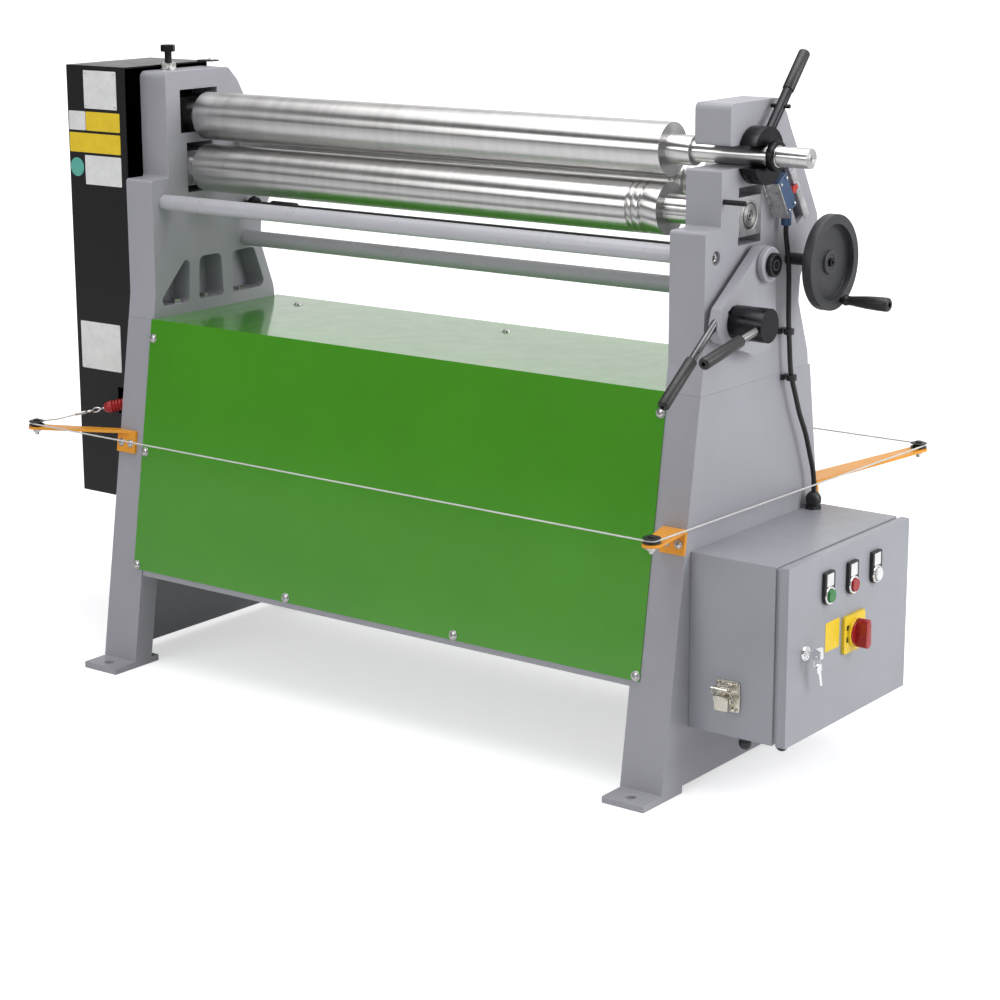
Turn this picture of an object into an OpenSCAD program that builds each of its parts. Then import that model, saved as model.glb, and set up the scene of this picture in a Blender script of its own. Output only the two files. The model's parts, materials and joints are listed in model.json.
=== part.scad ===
// Motor-driven asymmetric plate rolling machine with three rolls.
// X runs along the rolls (drive side -X, control side +X), the operator stands at -Y, Z is up.
// The origin is on the floor, midway between the four anchor bolt holes.

/* [Rolls] */
// Working length of the three rolls
roll_len = 1050; // [600:10:1600]
// Diameter of the rolls
roll_d = 90; // [84:1:94]
// Gap between the top roll and the lower roll
roll_gap = 8; // [6:1:12]
// Bare length between the left head and the rolls
left_bare = 20; // [14:1:40]
// Bare length between the rolls and the right head
right_bare = 86; // [60:1:160]
// Height of the lower roll's axis over the heads' feet
lower_rise = 278; // [270:1:290]
// Distance of the lower roll's axis in front of the machine's middle
lower_front = 35; // [30:1:40]
// Distance of the top roll's axis behind the lower roll's axis
top_back = 5; // [0:1:8]
// Distance of the rear roll's axis behind the lower roll's axis
rear_back = 133; // [128:1:136]
// Height of the rear roll's axis over the lower roll's axis
rear_rise = 29; // [24:1:32]
// Slope of the rear roll's travel under the horizontal, in degrees
rear_slope = 58; // [56:1:60]
// Diameter of the rolls' necks in the left head
neck_d = 48; // [40:1:50]
// Diameter of the top roll's bare neck beside the right head
bare_neck_d = 50; // [42:1:60]
// Length of the top roll's bare neck
bare_neck_len = 46; // [30:1:50]
// Diameter of the top roll's journal in the right head
shaft_d = 36; // [32:1:42]
// Diameter of the top roll's open shaft end
shaft_end_d = 33; // [24:1:34]
// Length of the top roll's shaft outside the right head
shaft_out = 109; // [100:1:150]
// Diameter of the rear roll's necks
rear_neck_d = 36; // [28:1:40]
// Depth of the wire grooves in the lower and the rear roll
groove_depth = 3; // [1:0.5:6]

/* [Heads] */
// Thickness of the two head castings
head_t = 67; // [60:1:90]
// Height of the metal over the top roll's axis
head_cap = 86; // [76:1:110]
// Depth of the windows cast into the heads' inner faces
window_depth = 45; // [20:1:55]
// Width of the slots that guide the lower roll's blocks
block_slot_w = 70; // [66:1:74]
// Diameter of the two tie bars
tie_d = 30; // [20:1:40]

/* [Stands] */
// Height of the stands, from the floor to the heads' feet
stand_h = 664; // [600:1:760]
// Width of the stands along the rolls
stand_w = 83; // [76:1:110]
// Thickness of the stands' folded sheet
stand_t = 6; // [4:0.5:10]
// Depth of the stands at the top
stand_top = 352; // [340:1:360]
// Depth of the stands at the foot plates
stand_foot = 550; // [500:1:600]
// Depth of the folded lips on the stands' inner edges
stand_lip = 45; // [30:1:60]
// Thickness of the foot plates
foot_t = 12; // [8:1:20]
// Depth of each foot plate
foot_len = 117; // [100:1:140]
// Distance between the front and the rear anchor holes
anchor_y = 606; // [560:1:660]
// Diameter of the anchor holes
anchor_d = 18; // [12:1:22]

/* [Covers] */
// Thickness of the sheet covers
sheet_t = 2; // [1.5:0.5:4]
// Height of the front cover's lower edge over the floor
cover_low = 191; // [160:1:230]
// Width of the drive cover
gear_cover_w = 147; // [120:1:200]
// Thickness of the drive cover's sheet
gear_cover_t = 3; // [2:0.5:5]

/* [Controls] */
// Width of the control box along X
box_w = 160; // [130:1:200]
// Depth of the control box along Y
box_d = 404; // [380:1:440]
// Height of the control box
box_h = 300; // [280:1:330]
// Height of the control box's underside over the floor
box_low = 112; // [90:1:140]
// Wall of the control box
box_t = 3; // [2:0.5:5]
// Depth of the control box's door pan
door_t = 16; // [12:1:24]
// Gap between the control box and its door, filled by the seal
door_gap = 8; // [6:0.5:12]
// Diameter of the push buttons' caps
button_d = 22; // [16:1:26]
// Stroke of the push buttons
button_stroke = 3; // [2:0.5:4]

/* [Handwheel and levers] */
// Diameter of the handwheel
wheel_d = 160; // [140:1:170]
// Diameter of the handwheel's shaft
wheel_shaft_d = 20; // [16:1:26]
// Outer diameter of the latch ring round the top roll's shaft
latch_d = 94; // [88:1:96]
// Thickness of the pinch arm
arm_t = 19; // [16:1:22]
// Diameter of the pinch arm's pivot pin
arm_pin_d = 30; // [22:1:34]
// Diameter of the clamp knob
knob_d = 56; // [46:1:58]
// Length of the clamp knob
knob_len = 62; // [60:1:70]
// Diameter of the knurled grips
grip_d = 20; // [18:1:24]
// Diameter of the lever rods
rod_d = 13; // [10:1:15]

/* [Rope guard] */
// Height of the trip rope over the floor
rope_z = 457; // [445:1:470]
// Diameter of the trip rope
rope_d = 3; // [2:0.5:4]
// Diameter of the rope pulleys
pulley_d = 30; // [26:1:36]

/* [Hidden] */
$fn = 64;

// Running clearance of a shaft, on the diameter, and gap between sliding faces
run = 0.1;
slip = 0.4;

// Stations along X
head_in = (roll_len + left_bare + right_bare) / 2;
head_out = head_in + head_t;
roll_x0 = left_bare - head_in;
roll_x1 = roll_x0 + roll_len;
stand_in = head_out - stand_w;
box_face = head_out + box_w;
door_x0 = box_face + door_gap;
door_x1 = door_x0 + door_t;

// Roll axes
lower_y = -lower_front;
lower_z = stand_h + lower_rise;
top_y = lower_y + top_back;
top_z = lower_z + roll_d + roll_gap;
rear_y = lower_y + rear_back;
rear_z = lower_z + rear_rise;
head_top = top_z + head_cap;

// How far the rolls' ends stay inside the heads' outer faces
neck_inset = 6;
rear_neck_inset = 12;

// Lower roll's travel, and rear roll's travel up and down its slope
lower_up = 3;
lower_down = 10;
rear_up = 40;
rear_down = 50;
travel_spare = 3;

// Bearing blocks: how far they reach above and below the lower roll's axis
block_up = 32;
block_down = 33;
block_slot_up = block_up + lower_up + 13;
block_slot_down = block_down + lower_down + travel_spare;
rear_block_w = 56;
rear_block_len = 60;
rear_slot_up = rear_up + rear_block_len / 2 + travel_spare;
rear_slot_down = rear_down + rear_block_len / 2 + travel_spare;
rear_slot_wall = 9;

// Slot for the pointer: its edges across the rear roll's slope, and its spare length
pointer_slot = [-9, 15];
pointer_spare = 12;
pointer_d = 12;
scale_w = 15;

// Head outline, as distances in front of or behind the machine's middle
head_front = 169;
post_front = 123;
cap_front = 99;
step_drop = 14;
foot_slope_h = 48;
foot_slope = (stand_foot - stand_top) / 2 / (stand_h - foot_t);

// Distance from each anchor hole back to the middle of its foot plate
foot_shift = 33;

// Stand faces
function face_y(z) = stand_top / 2 + foot_slope * (stand_h - z);

// Bars and pins between the heads: their places, and how deep they sit in the heads
front_tie = [lower_y - 101, lower_z - 58];
rear_tie = [lower_y + 125, lower_z - 151];
bar_hold = 30;
plug_d = 24;
plug_depth = 14;

// Pinch arm: its pivot, the clamp stud, and stations along X
pivot = [lower_y + 6, lower_z - 78];
stud = [lower_y - 82, lower_z - 161];
stud_d = 16;
stud_slot = stud_d + 3;
stud_turn = [-14, 26];
stud_r = norm(stud - pivot);
stud_angle = atan2(stud[1] - pivot[1], stud[0] - pivot[0]);
arm_gap = 9;
arm_x0 = head_out + arm_gap;
arm_x1 = arm_x0 + arm_t;
arm_mid = (arm_x0 + arm_x1) / 2;
boss_h = 12;
boss_d = 58;
cap_d = 40;
cap_t = 8;
knob_gap = 0.6;
knob_x0 = arm_x1 + knob_gap;
knob_x1 = knob_x0 + knob_len;
arm_socket = [pivot[0] - 131, pivot[1] - 75];
arm_tip = [pivot[0] - 287, pivot[1] - 190];
arm_grip_len = 103;
knob_rod_x = knob_x0 + 52;
knob_tip = [stud[0] - 181, stud[1] - 35];
knob_root = 14;
clamp_grip_len = 110;

// Latch ring and its lever
latch_x0 = head_out + 1;
latch_t = 30;
latch_x1 = latch_x0 + latch_t;
latch_rod_x = latch_x1 - 12;
latch_rod_d = 17;
latch_root = [top_y + 18, top_z + 36];
latch_tip = [top_y + 127, top_z + 158];
latch_grip_len = 79;
latch_grip_d = 20;
latch_pin_d = 7;
latch_pin_at = 111;
collar_len = 12;
collar_wall = 7;

// Handwheel and its shaft, which crosses the machine in two sleeves
wheel_y = lower_y + 125;
wheel_z = lower_z - 85;
wheel_x0 = head_out + 69;
wheel_t = 21;
wheel_dish = 12;
wheel_rim = 16;
hub_d = 40;
cross_d = 16;
sleeve_d = 24;
sleeve_len = 60;
sleeve_at = 70;
crank_r = 70;
crank_turn = -69;
crank_d = 24;
crank_len = 85;
crank_pin_d = 10;

// Limit switch: its edges along and across the rear roll's slope, and how far it stands off
switch_a = [2, 68];
switch_b = [39, 70];
switch_off = 30;
switch_sheet = 3;
gland = [rear_y - 43, rear_z - 54];
gland_d = 17;
gland_h = 22;
cable_x = head_out + 16;
cable_d = 9;

// Cable gland on the control box, and the box's other outlets
box_gland_x = head_out + 18;
box_gland_y = 168;
box_gland_h = 30;
box_gland_d = 26;
box_gland_z = box_low + box_h + box_gland_h;
outlet_d = 22;
outlet_h = 22;
outlets = [[head_out + 100, -181], [head_out + 152, -152], [head_out + 60, 60]];
connector = [[head_out + 57, box_low + 48], [head_out + 97, box_low + 93]];
connector_h = 30;

// Control box: how far it sits behind the machine's middle, and its seal
box_shift = 4;
seal_w = 9;
seal_inset = 5;
box_y0 = box_shift - box_d / 2;
box_y1 = box_shift + box_d / 2;

// Door fittings, as places on the door
button_z = box_low + 230;
button_y = [-75, 4, 84];
button_t = 6;
legend_w = 32;
legend_t = 6;
legend_down = 16;
legend_up = 40;
bezel_t = 3;
cap_hole = 12.8;
main_y = 14;
main_z = box_low + 146;
main_plate = 66;
main_plate_t = 4;
main_knob_d = 46;
main_grip = [42, 12, 20];
lock_y = -142;
lock_z = box_low + 148;

// Covers: the seam on the stands' tops, and how far they reach over the stands
cover_seam = 117;
cover_over = 20;

// Drive cover
cover_z0 = stand_h - 364;
cover_front = 165;
cover_back = 62;
cover_rise = 9;
cover_gap = 7;

// Opening in the drive cover for the pull switch
opening_in = 4;
opening_w = 44;
opening_up = 28;
opening_down = 24;

// Rope pulleys: centre in X and Y
pulley_left = [-head_out - 148, -288];
pulley_right = [head_out, -314];
pulley_back = [head_out + 26, 540];
pulley_back_left = [-head_out - 148, 540];

// Brackets of the rope guard
strap_t = 5;
strap_z = rope_z - 11;
strap_end_r = 16;
leg_plate_w = 47;
leg_plate_h = 42;
leg_plate_t = 6;
leg_plate_x = head_out - 23;

// ---- helpers ----

// Extrudes an outline drawn in Y and Z along X
module along_x(x0, x1) {
    translate([x0, 0, 0])
        rotate([90, 0, 90])
            linear_extrude(height = x1 - x0)
                children();
}

// Round bar along X
module rod_x(x0, x1, at, d) {
    translate([x0, at[0], at[1]])
        rotate([0, 90, 0])
            cylinder(h = x1 - x0, d = d);
}

// Round bar between two points of the plane X = x
module rod_yz(x, a, b, d) {
    v = b - a;
    translate([x, a[0], a[1]])
        rotate([atan2(v[1], v[0]) - 90, 0, 0])
            cylinder(h = norm(v), d = d);
}

// Box given by two opposite corners
module block(a, b) {
    translate(a)
        cube(b - a);
}

// Point on the line from a to b, at distance s from a
function toward(a, b, s) = a + (b - a) * s / norm(b - a);

// Corner of an outline, rounded with radius r, in n steps
function corner(p, a, b, r, n = 5) =
    let (u = (a - p) / norm(a - p), v = (b - p) / norm(b - p))
    let (half = acos(u * v) / 2, d = r / tan(half))
    let (m = (u + v) / norm(u + v), c = p + m * r / sin(half))
    let (p0 = p + u * d - c, p1 = p + v * d - c)
    let (a0 = atan2(p0[1], p0[0]), a1 = atan2(p1[1], p1[0]))
    let (turn = a1 - a0 > 180 ? a1 - a0 - 360 : a1 - a0 < -180 ? a1 - a0 + 360 : a1 - a0)
    [for (i = [0:n]) c + r * [cos(a0 + turn * i / n), sin(a0 + turn * i / n)]];

// Outline [[y, z, radius], ...] with its corners rounded
function rounded(q) = [
    for (i = [0:len(q) - 1])
        let (p = [q[i][0], q[i][1]])
        let (a = q[(i + len(q) - 1) % len(q)], b = q[(i + 1) % len(q)])
        each q[i][2] > 0 ? corner(p, [a[0], a[1]], [b[0], b[1]], q[i][2]) : [p]
];

// Tube of n sides swept along points, seen square to the direction side
function ring(p, t, side, r, n) =
    let (u = cross(t, side) / norm(cross(t, side)), v = cross(u, t))
    [for (k = [0:n - 1]) p + r * (cos(360 * k / n) * u + sin(360 * k / n) * v)];

module tube(pts, d, side, n = 8) {
    m = len(pts);
    tangents = [
        for (i = [0:m - 1])
            let (w = pts[min(i + 1, m - 1)] - pts[max(i - 1, 0)])
            w / norm(w)
    ];
    rings = [for (i = [0:m - 1]) each ring(pts[i], tangents[i], side, d / 2, n)];
    walls = [
        for (i = [0:m - 2], k = [0:n - 1])
            [i * n + k, i * n + (k + 1) % n, (i + 1) * n + (k + 1) % n, (i + 1) * n + k]
    ];
    start = [[for (k = [0:n - 1]) n - 1 - k]];
    finish = [[for (k = [0:n - 1]) (m - 1) * n + k]];
    polyhedron(points = rings, faces = concat(walls, start, finish));
}

// ---- stands ----

// Stand outline between two heights, set back from its front and rear by t
module stand_outline(z0, z1, t) {
    polygon([
        [-face_y(z0) + t, z0], [face_y(z0) - t, z0],
        [face_y(z1) - t, z1], [-face_y(z1) + t, z1]
    ]);
}

module stand() {
    difference() {
        union() {
            difference() {
                along_x(stand_in, head_out)
                    stand_outline(foot_t, stand_h, 0);
                along_x(stand_in + stand_t, head_out - stand_t)
                    stand_outline(foot_t - 1, stand_h - stand_t, stand_t);
                along_x(stand_in - 1, stand_in + stand_t + 1)
                    stand_outline(foot_t - 1, stand_h - stand_t, stand_lip);
            }
            for (s = [-1, 1])
                translate([stand_in, s * (anchor_y / 2 - foot_shift) - foot_len / 2, 0])
                    cube([stand_w, foot_len, foot_t]);
        }
        for (s = [-1, 1])
            translate([head_out - stand_w / 2, s * anchor_y / 2, -1])
                cylinder(h = foot_t + 2, d = anchor_d);
    }
}

module left_stand() {
    color("lightsteelblue")
        mirror([1, 0, 0])
            stand();
}

module right_stand() {
    color("lightsteelblue")
        stand();
}

// Flat bars that join the stands behind the covers' lower edges
module stretchers() {
    w = 40;
    t = 12;
    y = face_y(cover_low) - 1;
    color("lightsteelblue")
        for (s = [-1, 1])
            translate([-stand_in, s > 0 ? y - w : -y, cover_low - t])
                cube([2 * stand_in, w, t]);
}

// ---- heads ----

// Rear edge of both heads, from the top down
rear_edge = [
    [50, head_top, 12], [76, head_top - 26, 14], [92, head_top - 54, 0],
    [rear_y + 42, rear_z + 27, 30], [rear_y + 92, rear_z - 57, 18],
    [rear_y + 36, rear_z - 149, 30], [rear_y + 32, rear_z - 192, 20],
    [165, stand_h + 24, 10], [168, stand_h, 0]
];

foot_edge = [
    [-face_y(stand_h), stand_h, 0],
    [-head_front, stand_h + foot_slope_h, 10],
    [-head_front, lower_z - step_drop, 6],
    [-post_front, lower_z - step_drop, 5]
];

module left_head_outline() {
    polygon(rounded(concat(foot_edge, [[-post_front, head_top, 12]], rear_edge)));
}

module right_head_outline() {
    jaw = shaft_d / 2 + slip;
    difference() {
        polygon(rounded(concat(
            foot_edge,
            [
                [-post_front, top_z - jaw, 3], [-cap_front + 12, top_z - jaw, 0],
                [-cap_front + 12, top_z + jaw, 0], [-cap_front, top_z + jaw, 6],
                [-cap_front, head_top, 10]
            ],
            rear_edge
        )));
        translate([-cap_front, top_z - jaw])
            square([top_y + cap_front, 2 * jaw]);
        translate([top_y, top_z])
            circle(r = jaw);
    }
}

// Windows in the heads' inner faces
module windows() {
    z = stand_h;
    polygon(rounded([
        [-84, z + 106, 8], [-72, z + 96, 6], [-76, z + 21, 8],
        [-146, z + 22, 8], [-151, z + 36, 8]
    ]));
    polygon(rounded([
        [-45, z + 106, 13], [15, z + 106, 13], [20, z + 23, 8], [-49, z + 23, 8]
    ]));
    polygon(rounded([
        [47, z + 105, 15], [109, z + 107, 13], [141, z + 26, 12], [46, z + 24, 8]
    ]));
}

// Slot of the lower roll's block, grown by g
module block_slot(g = 0) {
    translate([lower_y - block_slot_w / 2 - g, lower_z - block_slot_down - g])
        square([block_slot_w + 2 * g, block_slot_up + block_slot_down + 2 * g]);
}

// Turns an outline drawn along the rear roll's slope into its place
module on_slope() {
    translate([rear_y, rear_z])
        rotate(180 - rear_slope)
            children();
}

// Slot of the rear roll's block
module rear_slot() {
    w = rear_block_w + 2 * slip;
    on_slope()
        translate([-rear_slot_down, -w / 2])
            square([rear_slot_down + rear_slot_up, w]);
}

// Holes that both heads share, cut from the inner face outward
module head_cuts() {
    along_x(head_in - 1, head_in + window_depth)
        windows();
    along_x(head_in - 1, head_out + 1)
        block_slot();
    along_x(head_in - 1, head_out - rear_slot_wall)
        rear_slot();
    rod_x(head_in - 1, head_in + bar_hold, front_tie, tie_d);
    rod_x(head_in - 1, head_in + bar_hold, rear_tie, tie_d);
    rod_x(head_out - plug_depth, head_out + 1, front_tie, plug_d);
}

// Slot of the top roll's block in the left head, from the top roll's axis
top_slot_back = 47;
top_slot_front = 55;
top_slot_up = 51;
top_slot_down = 31;
top_block_gap = 15;
top_block_inset = 3;

module left_head() {
    color("lightsteelblue")
        mirror([1, 0, 0])
            difference() {
                along_x(head_in, head_out)
                    left_head_outline();
                head_cuts();
                rod_x(head_in - 1, head_in + bar_hold, [wheel_y, wheel_z], cross_d + run);
                along_x(head_in - 1, head_out + 1)
                    translate([top_y - top_slot_front, top_z - top_slot_down])
                        square([top_slot_front + top_slot_back, top_slot_up + top_slot_down]);
            }
}

module right_head() {
    color("lightsteelblue")
        difference() {
            along_x(head_in, head_out)
                right_head_outline();
            head_cuts();
            along_x(head_out - rear_slot_wall - 1, head_out + 1)
                on_slope()
                    translate([-rear_down - pointer_spare, pointer_slot[0]])
                        square([rear_down + rear_up + 2 * pointer_spare,
                                pointer_slot[1] - pointer_slot[0]]);
            rod_x(head_in - 1, head_out + 1, [wheel_y, wheel_z], wheel_shaft_d + run);
        }
}

module front_tie_bar() {
    color("gainsboro")
        rod_x(-head_in - bar_hold, head_in + bar_hold, front_tie, tie_d);
}

module rear_tie_bar() {
    color("gainsboro")
        rod_x(-head_in - bar_hold, head_in + bar_hold, rear_tie, tie_d);
}

// ---- rolls and bearings ----

module top_roll() {
    at = [top_y, top_z];
    neck_end = roll_x1 + bare_neck_len;
    end = head_out + shaft_out;
    centre_d = 8;
    centre_depth = 14;
    color("silver")
        difference() {
            union() {
                rod_x(-head_out + neck_inset, roll_x0, at, neck_d);
                rod_x(roll_x0, roll_x1, at, roll_d);
                rod_x(roll_x1, neck_end, at, bare_neck_d);
                rod_x(neck_end, collar_x1, at, shaft_d);
                rod_x(collar_x1, end, at, shaft_end_d);
            }
            rod_x(end - centre_depth, end + 1, at, centre_d);
        }
}

// Collar on the shaft, outside the latch ring
collar_x0 = latch_x1 + 7;
collar_x1 = collar_x0 + collar_len;

module shaft_collar() {
    at = [top_y, top_z];
    color("dimgray")
        difference() {
            rod_x(collar_x0, collar_x1, at, shaft_d + 2 * collar_wall);
            rod_x(collar_x0 - 1, collar_x1 + 1, at, shaft_d);
        }
}

// Wire grooves near the right end of a roll: [distance from the end, width]
grooves = [[35, 8], [50, 5], [61, 4]];

module grooved_roll(at, left_end, right_end, d) {
    difference() {
        union() {
            rod_x(left_end, roll_x0, at, d);
            rod_x(roll_x0, roll_x1, at, roll_d);
            rod_x(roll_x1, right_end, at, d);
        }
        for (g = grooves)
            translate([roll_x1 - g[0], at[0], at[1]])
                rotate([0, 90, 0])
                    rotate_extrude()
                        translate([roll_d / 2, 0])
                            polygon([[-groove_depth, 0], [1, -g[1] / 2], [1, g[1] / 2]]);
    }
}

module lower_roll() {
    color("silver")
        grooved_roll([lower_y, lower_z], -head_out + neck_inset, head_out, neck_d);
}

module rear_roll() {
    color("silver")
        grooved_roll([rear_y, rear_z], -head_out + rear_neck_inset,
                     head_out - rear_neck_inset, rear_neck_d);
}

module lower_blocks() {
    w = block_slot_w - 2 * slip;
    color("gray")
        for (s = [-1, 1])
            mirror([s < 0 ? 1 : 0, 0, 0])
                difference() {
                    block([head_in, lower_y - w / 2, lower_z - block_down],
                          [head_out, lower_y + w / 2, lower_z + block_up]);
                    rod_x(head_in - 1, head_out + 1, [lower_y, lower_z], neck_d + run);
                }
}

module rear_blocks() {
    x1 = head_out - rear_slot_wall - slip;
    color("gray")
        for (s = [-1, 1])
            mirror([s < 0 ? 1 : 0, 0, 0])
                difference() {
                    along_x(head_in + 1, x1)
                        on_slope()
                            translate([-rear_block_len / 2, -rear_block_w / 2])
                                square([rear_block_len, rear_block_w]);
                    rod_x(head_in, x1 + 1, [rear_y, rear_z], rear_neck_d + run);
                }
}

module left_top_block() {
    color("dimgray")
        mirror([1, 0, 0])
            difference() {
                block([head_in + top_block_inset, top_y - top_slot_front, top_z - top_slot_down],
                      [head_out, top_y + top_slot_back, top_z + top_slot_up - top_block_gap]);
                rod_x(head_in, head_out + 1, [top_y, top_z], neck_d + run);
            }
}

// Bolt and lock nut that hold the top roll's left block down
module height_bolt() {
    bolt_d = 14;
    hex_d = 26;
    nut_h = 11;
    head_h = 13;
    head_at = 34;
    color("silver")
        translate([-head_out + 20, top_y - 35, head_top]) {
            cylinder(h = head_at + head_h, d = bolt_d);
            cylinder(h = nut_h, d = hex_d, $fn = 6);
            translate([0, 0, head_at])
                cylinder(h = head_h, d = hex_d, $fn = 6);
        }
}

// Pointer that shows the rear roll's place through the slot in the right head
module travel_pointer() {
    x0 = head_out - rear_slot_wall - slip;
    x1 = head_out + 6;
    t = 3;
    w = 9;
    color("firebrick") {
        rod_x(x0, x1, [rear_y, rear_z], pointer_d);
        along_x(x1 - t, x1)
            on_slope()
                translate([-w / 2, pointer_slot[0] - 2])
                    square([w, -pointer_slot[0] + 2]);
    }
}

module travel_scale() {
    t = 1;
    color("white")
        along_x(head_out, head_out + t)
            on_slope()
                translate([-rear_down - 21, pointer_slot[0] - scale_w - 1])
                    square([rear_down + rear_up + 6, scale_w]);
}

// ---- limit switch ----

// Sheet bracket that stands off the head and frames the switch
module switch_bracket() {
    t = switch_sheet;
    color("silver") {
        along_x(head_out, head_out + t)
            on_slope()
                translate([switch_a[0] - 4, switch_b[0] - 18])
                    square([switch_a[1] - switch_a[0] + 4, switch_b[1] - switch_b[0] + 22]);
        along_x(head_out, head_out + switch_off + 2)
            on_slope()
                translate([switch_a[0] - 4, switch_b[1]])
                    square([switch_a[1] - switch_a[0] + 4, t]);
    }
}

module limit_switch() {
    color("steelblue") {
        along_x(head_out + switch_sheet, head_out + switch_off)
            on_slope()
                translate([switch_a[0], switch_b[0]])
                    square([switch_a[1] - switch_a[0], switch_b[1] - switch_b[0]]);
        translate([cable_x, gland[0], gland[1]])
            cylinder(h = gland_h, d = gland_d);
    }
}

// Cable's run: [share of its height, share of its way back]
cable_run = [
    [0, 0], [0.03, 0], [0.08, 0.05], [0.14, 0.10], [0.20, 0.12], [0.27, 0.13],
    [0.33, 0.14], [0.38, 0.16], [0.44, 0.19], [0.50, 0.22], [0.55, 0.27], [0.61, 0.37],
    [0.69, 0.52], [0.77, 0.70], [0.86, 0.86], [0.92, 0.96], [0.97, 1], [1, 1]
];
cable_route = [
    for (c = cable_run) [
        c[0] < 0.6 ? cable_x : c[0] < 0.7 ? (cable_x + box_gland_x) / 2 : box_gland_x,
        gland[0] + c[1] * (box_gland_y - gland[0]),
        gland[1] + c[0] * (box_gland_z - gland[1])
    ]
];

module switch_cable() {
    color("black")
        tube(cable_route, cable_d, [1, 0, 0], 10);
}

// Clips that hold the cable, at two points of its route
module cable_clips() {
    h = 10;
    half = 12;
    wall = 5;
    hole = cable_d + 2 * slip;
    color("black")
        for (i = [7, 10])
            let (p = cable_route[i])
                difference() {
                    block([head_out, p[1] - half, p[2] - h / 2],
                          [p[0] + hole / 2 + wall, p[1] + half, p[2] + h / 2]);
                    translate([p[0] - hole / 2, p[1] - half + wall, p[2] - h / 2 - 1])
                        cube([hole, 2 * (half - wall), h + 2]);
                }
}

// ---- handwheel ----

module handwheel() {
    at = [wheel_y, wheel_z];
    x1 = wheel_x0 + wheel_t;
    face = x1 - wheel_dish;
    color("dimgray")
        difference() {
            union() {
                rod_x(-head_in - bar_hold + 10, head_in - 5, at, cross_d);
                rod_x(head_in - 6, face - 1, at, wheel_shaft_d);
                for (x = [sleeve_at, 2 * head_in - sleeve_at - sleeve_len])
                    rod_x(-head_in + x, -head_in + x + sleeve_len, at, sleeve_d);
                rod_x(wheel_x0 - 4, face + 3, at, hub_d);
                difference() {
                    rod_x(wheel_x0 + 4, x1, at, wheel_d);
                    rod_x(face, x1 + 1, at, wheel_d - 2 * wheel_rim);
                }
            }
            rod_x(wheel_x0, x1 + 1, crank_at, crank_pin_d);
        }
}

crank_at = [wheel_y + crank_r * cos(crank_turn), wheel_z + crank_r * sin(crank_turn)];

module crank_grip() {
    x1 = wheel_x0 + wheel_t;
    stand_off = 5;
    color("black") {
        rod_x(wheel_x0 + 5, x1 + stand_off + 1, crank_at, crank_pin_d - run);
        rod_x(x1 + stand_off, x1 + stand_off + crank_len, crank_at, crank_d);
    }
}

// ---- latch ----

module latch_ring() {
    at = [top_y, top_z];
    gap = shaft_d + 1;
    color("dimgray") {
        difference() {
            rod_x(latch_x0, latch_x1, at, latch_d);
            rod_x(latch_x0 - 1, latch_x1 + 1, at, shaft_d + run);
            block([latch_x0 - 1, top_y - latch_d, top_z - gap / 2],
                  [latch_x1 + 1, top_y, top_z + gap / 2]);
        }
        rod_yz(latch_rod_x, latch_root, toward(latch_tip, latch_root, latch_grip_len), latch_rod_d);
        latch_pin();
    }
}

// Cross pin through the latch lever
module latch_pin() {
    color("black")
        rod_x(latch_rod_x - latch_rod_d, latch_rod_x + latch_rod_d,
              toward(latch_tip, latch_root, latch_pin_at), latch_pin_d);
}

module latch_grip() {
    color("black")
        rod_yz(latch_rod_x, latch_tip, toward(latch_tip, latch_root, latch_grip_len), latch_grip_d);
}

// ---- pinch arm and clamp ----

module pivot_pins() {
    cap_x = arm_x1 + boss_h + 0.5;
    color("dimgray") {
        rod_x(head_out, cap_x + 1, pivot, arm_pin_d);
        rod_x(cap_x, cap_x + cap_t, pivot, cap_d);
        rod_x(head_out, knob_x1 - 8, stud, stud_d);
    }
}

// Arm outline, from its top down the front edge and round its foot
arm_outline = [
    [-9, 30.5, 28], [-133, -57, 9], [-145, -92, 6], [-128, -112, 5],
    [-34, -145, 30], [42, -152, 42], [33, -20, 30], [27, 30.5, 26]
];

module pinch_arm() {
    color("lightsteelblue")
        difference() {
            along_x(arm_x0, arm_x1)
                translate(pivot)
                    polygon(rounded(arm_outline));
            rod_x(arm_x0 - 1, arm_x1 + 1, pivot, arm_pin_d + run);
            translate([arm_x0 - 1, pivot[0], pivot[1]])
                rotate([90, 0, 90])
                    rotate([0, 0, stud_angle + stud_turn[0]])
                        rotate_extrude(angle = stud_turn[1] - stud_turn[0])
                            translate([stud_r - stud_slot / 2, 0])
                                square([stud_slot, arm_t + 2]);
            rod_yz(arm_mid, arm_socket, arm_tip, rod_d);
        }
}

// Round boss on the arm's face, welded on
module arm_boss() {
    color("lightsteelblue")
        difference() {
            rod_x(arm_x1, arm_x1 + boss_h, pivot, boss_d);
            rod_x(arm_x1 - 1, arm_x1 + boss_h + 1, pivot, arm_pin_d + run);
        }
}

module pinch_grip() {
    start = toward(arm_tip, arm_socket, arm_grip_len);
    color("black") {
        rod_yz(arm_mid, arm_socket, toward(arm_tip, arm_socket, arm_grip_len - 10), rod_d);
        rod_yz(arm_mid, start, arm_tip, grip_d);
    }
}

module clamp_knob() {
    color("dimgray")
        difference() {
            rod_x(knob_x0, knob_x1, stud, knob_d);
            rod_x(knob_x0 - 1, knob_x1 - 7, stud, stud_d + run);
            rod_yz(knob_rod_x, toward(stud, knob_tip, knob_root), knob_tip, rod_d);
        }
}

module clamp_grip() {
    start = toward(knob_tip, stud, clamp_grip_len);
    color("black") {
        rod_yz(knob_rod_x, toward(stud, knob_tip, knob_root),
               toward(knob_tip, stud, clamp_grip_len - 10), rod_d);
        rod_yz(knob_rod_x, start, knob_tip, grip_d);
    }
}

// ---- covers ----

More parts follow.
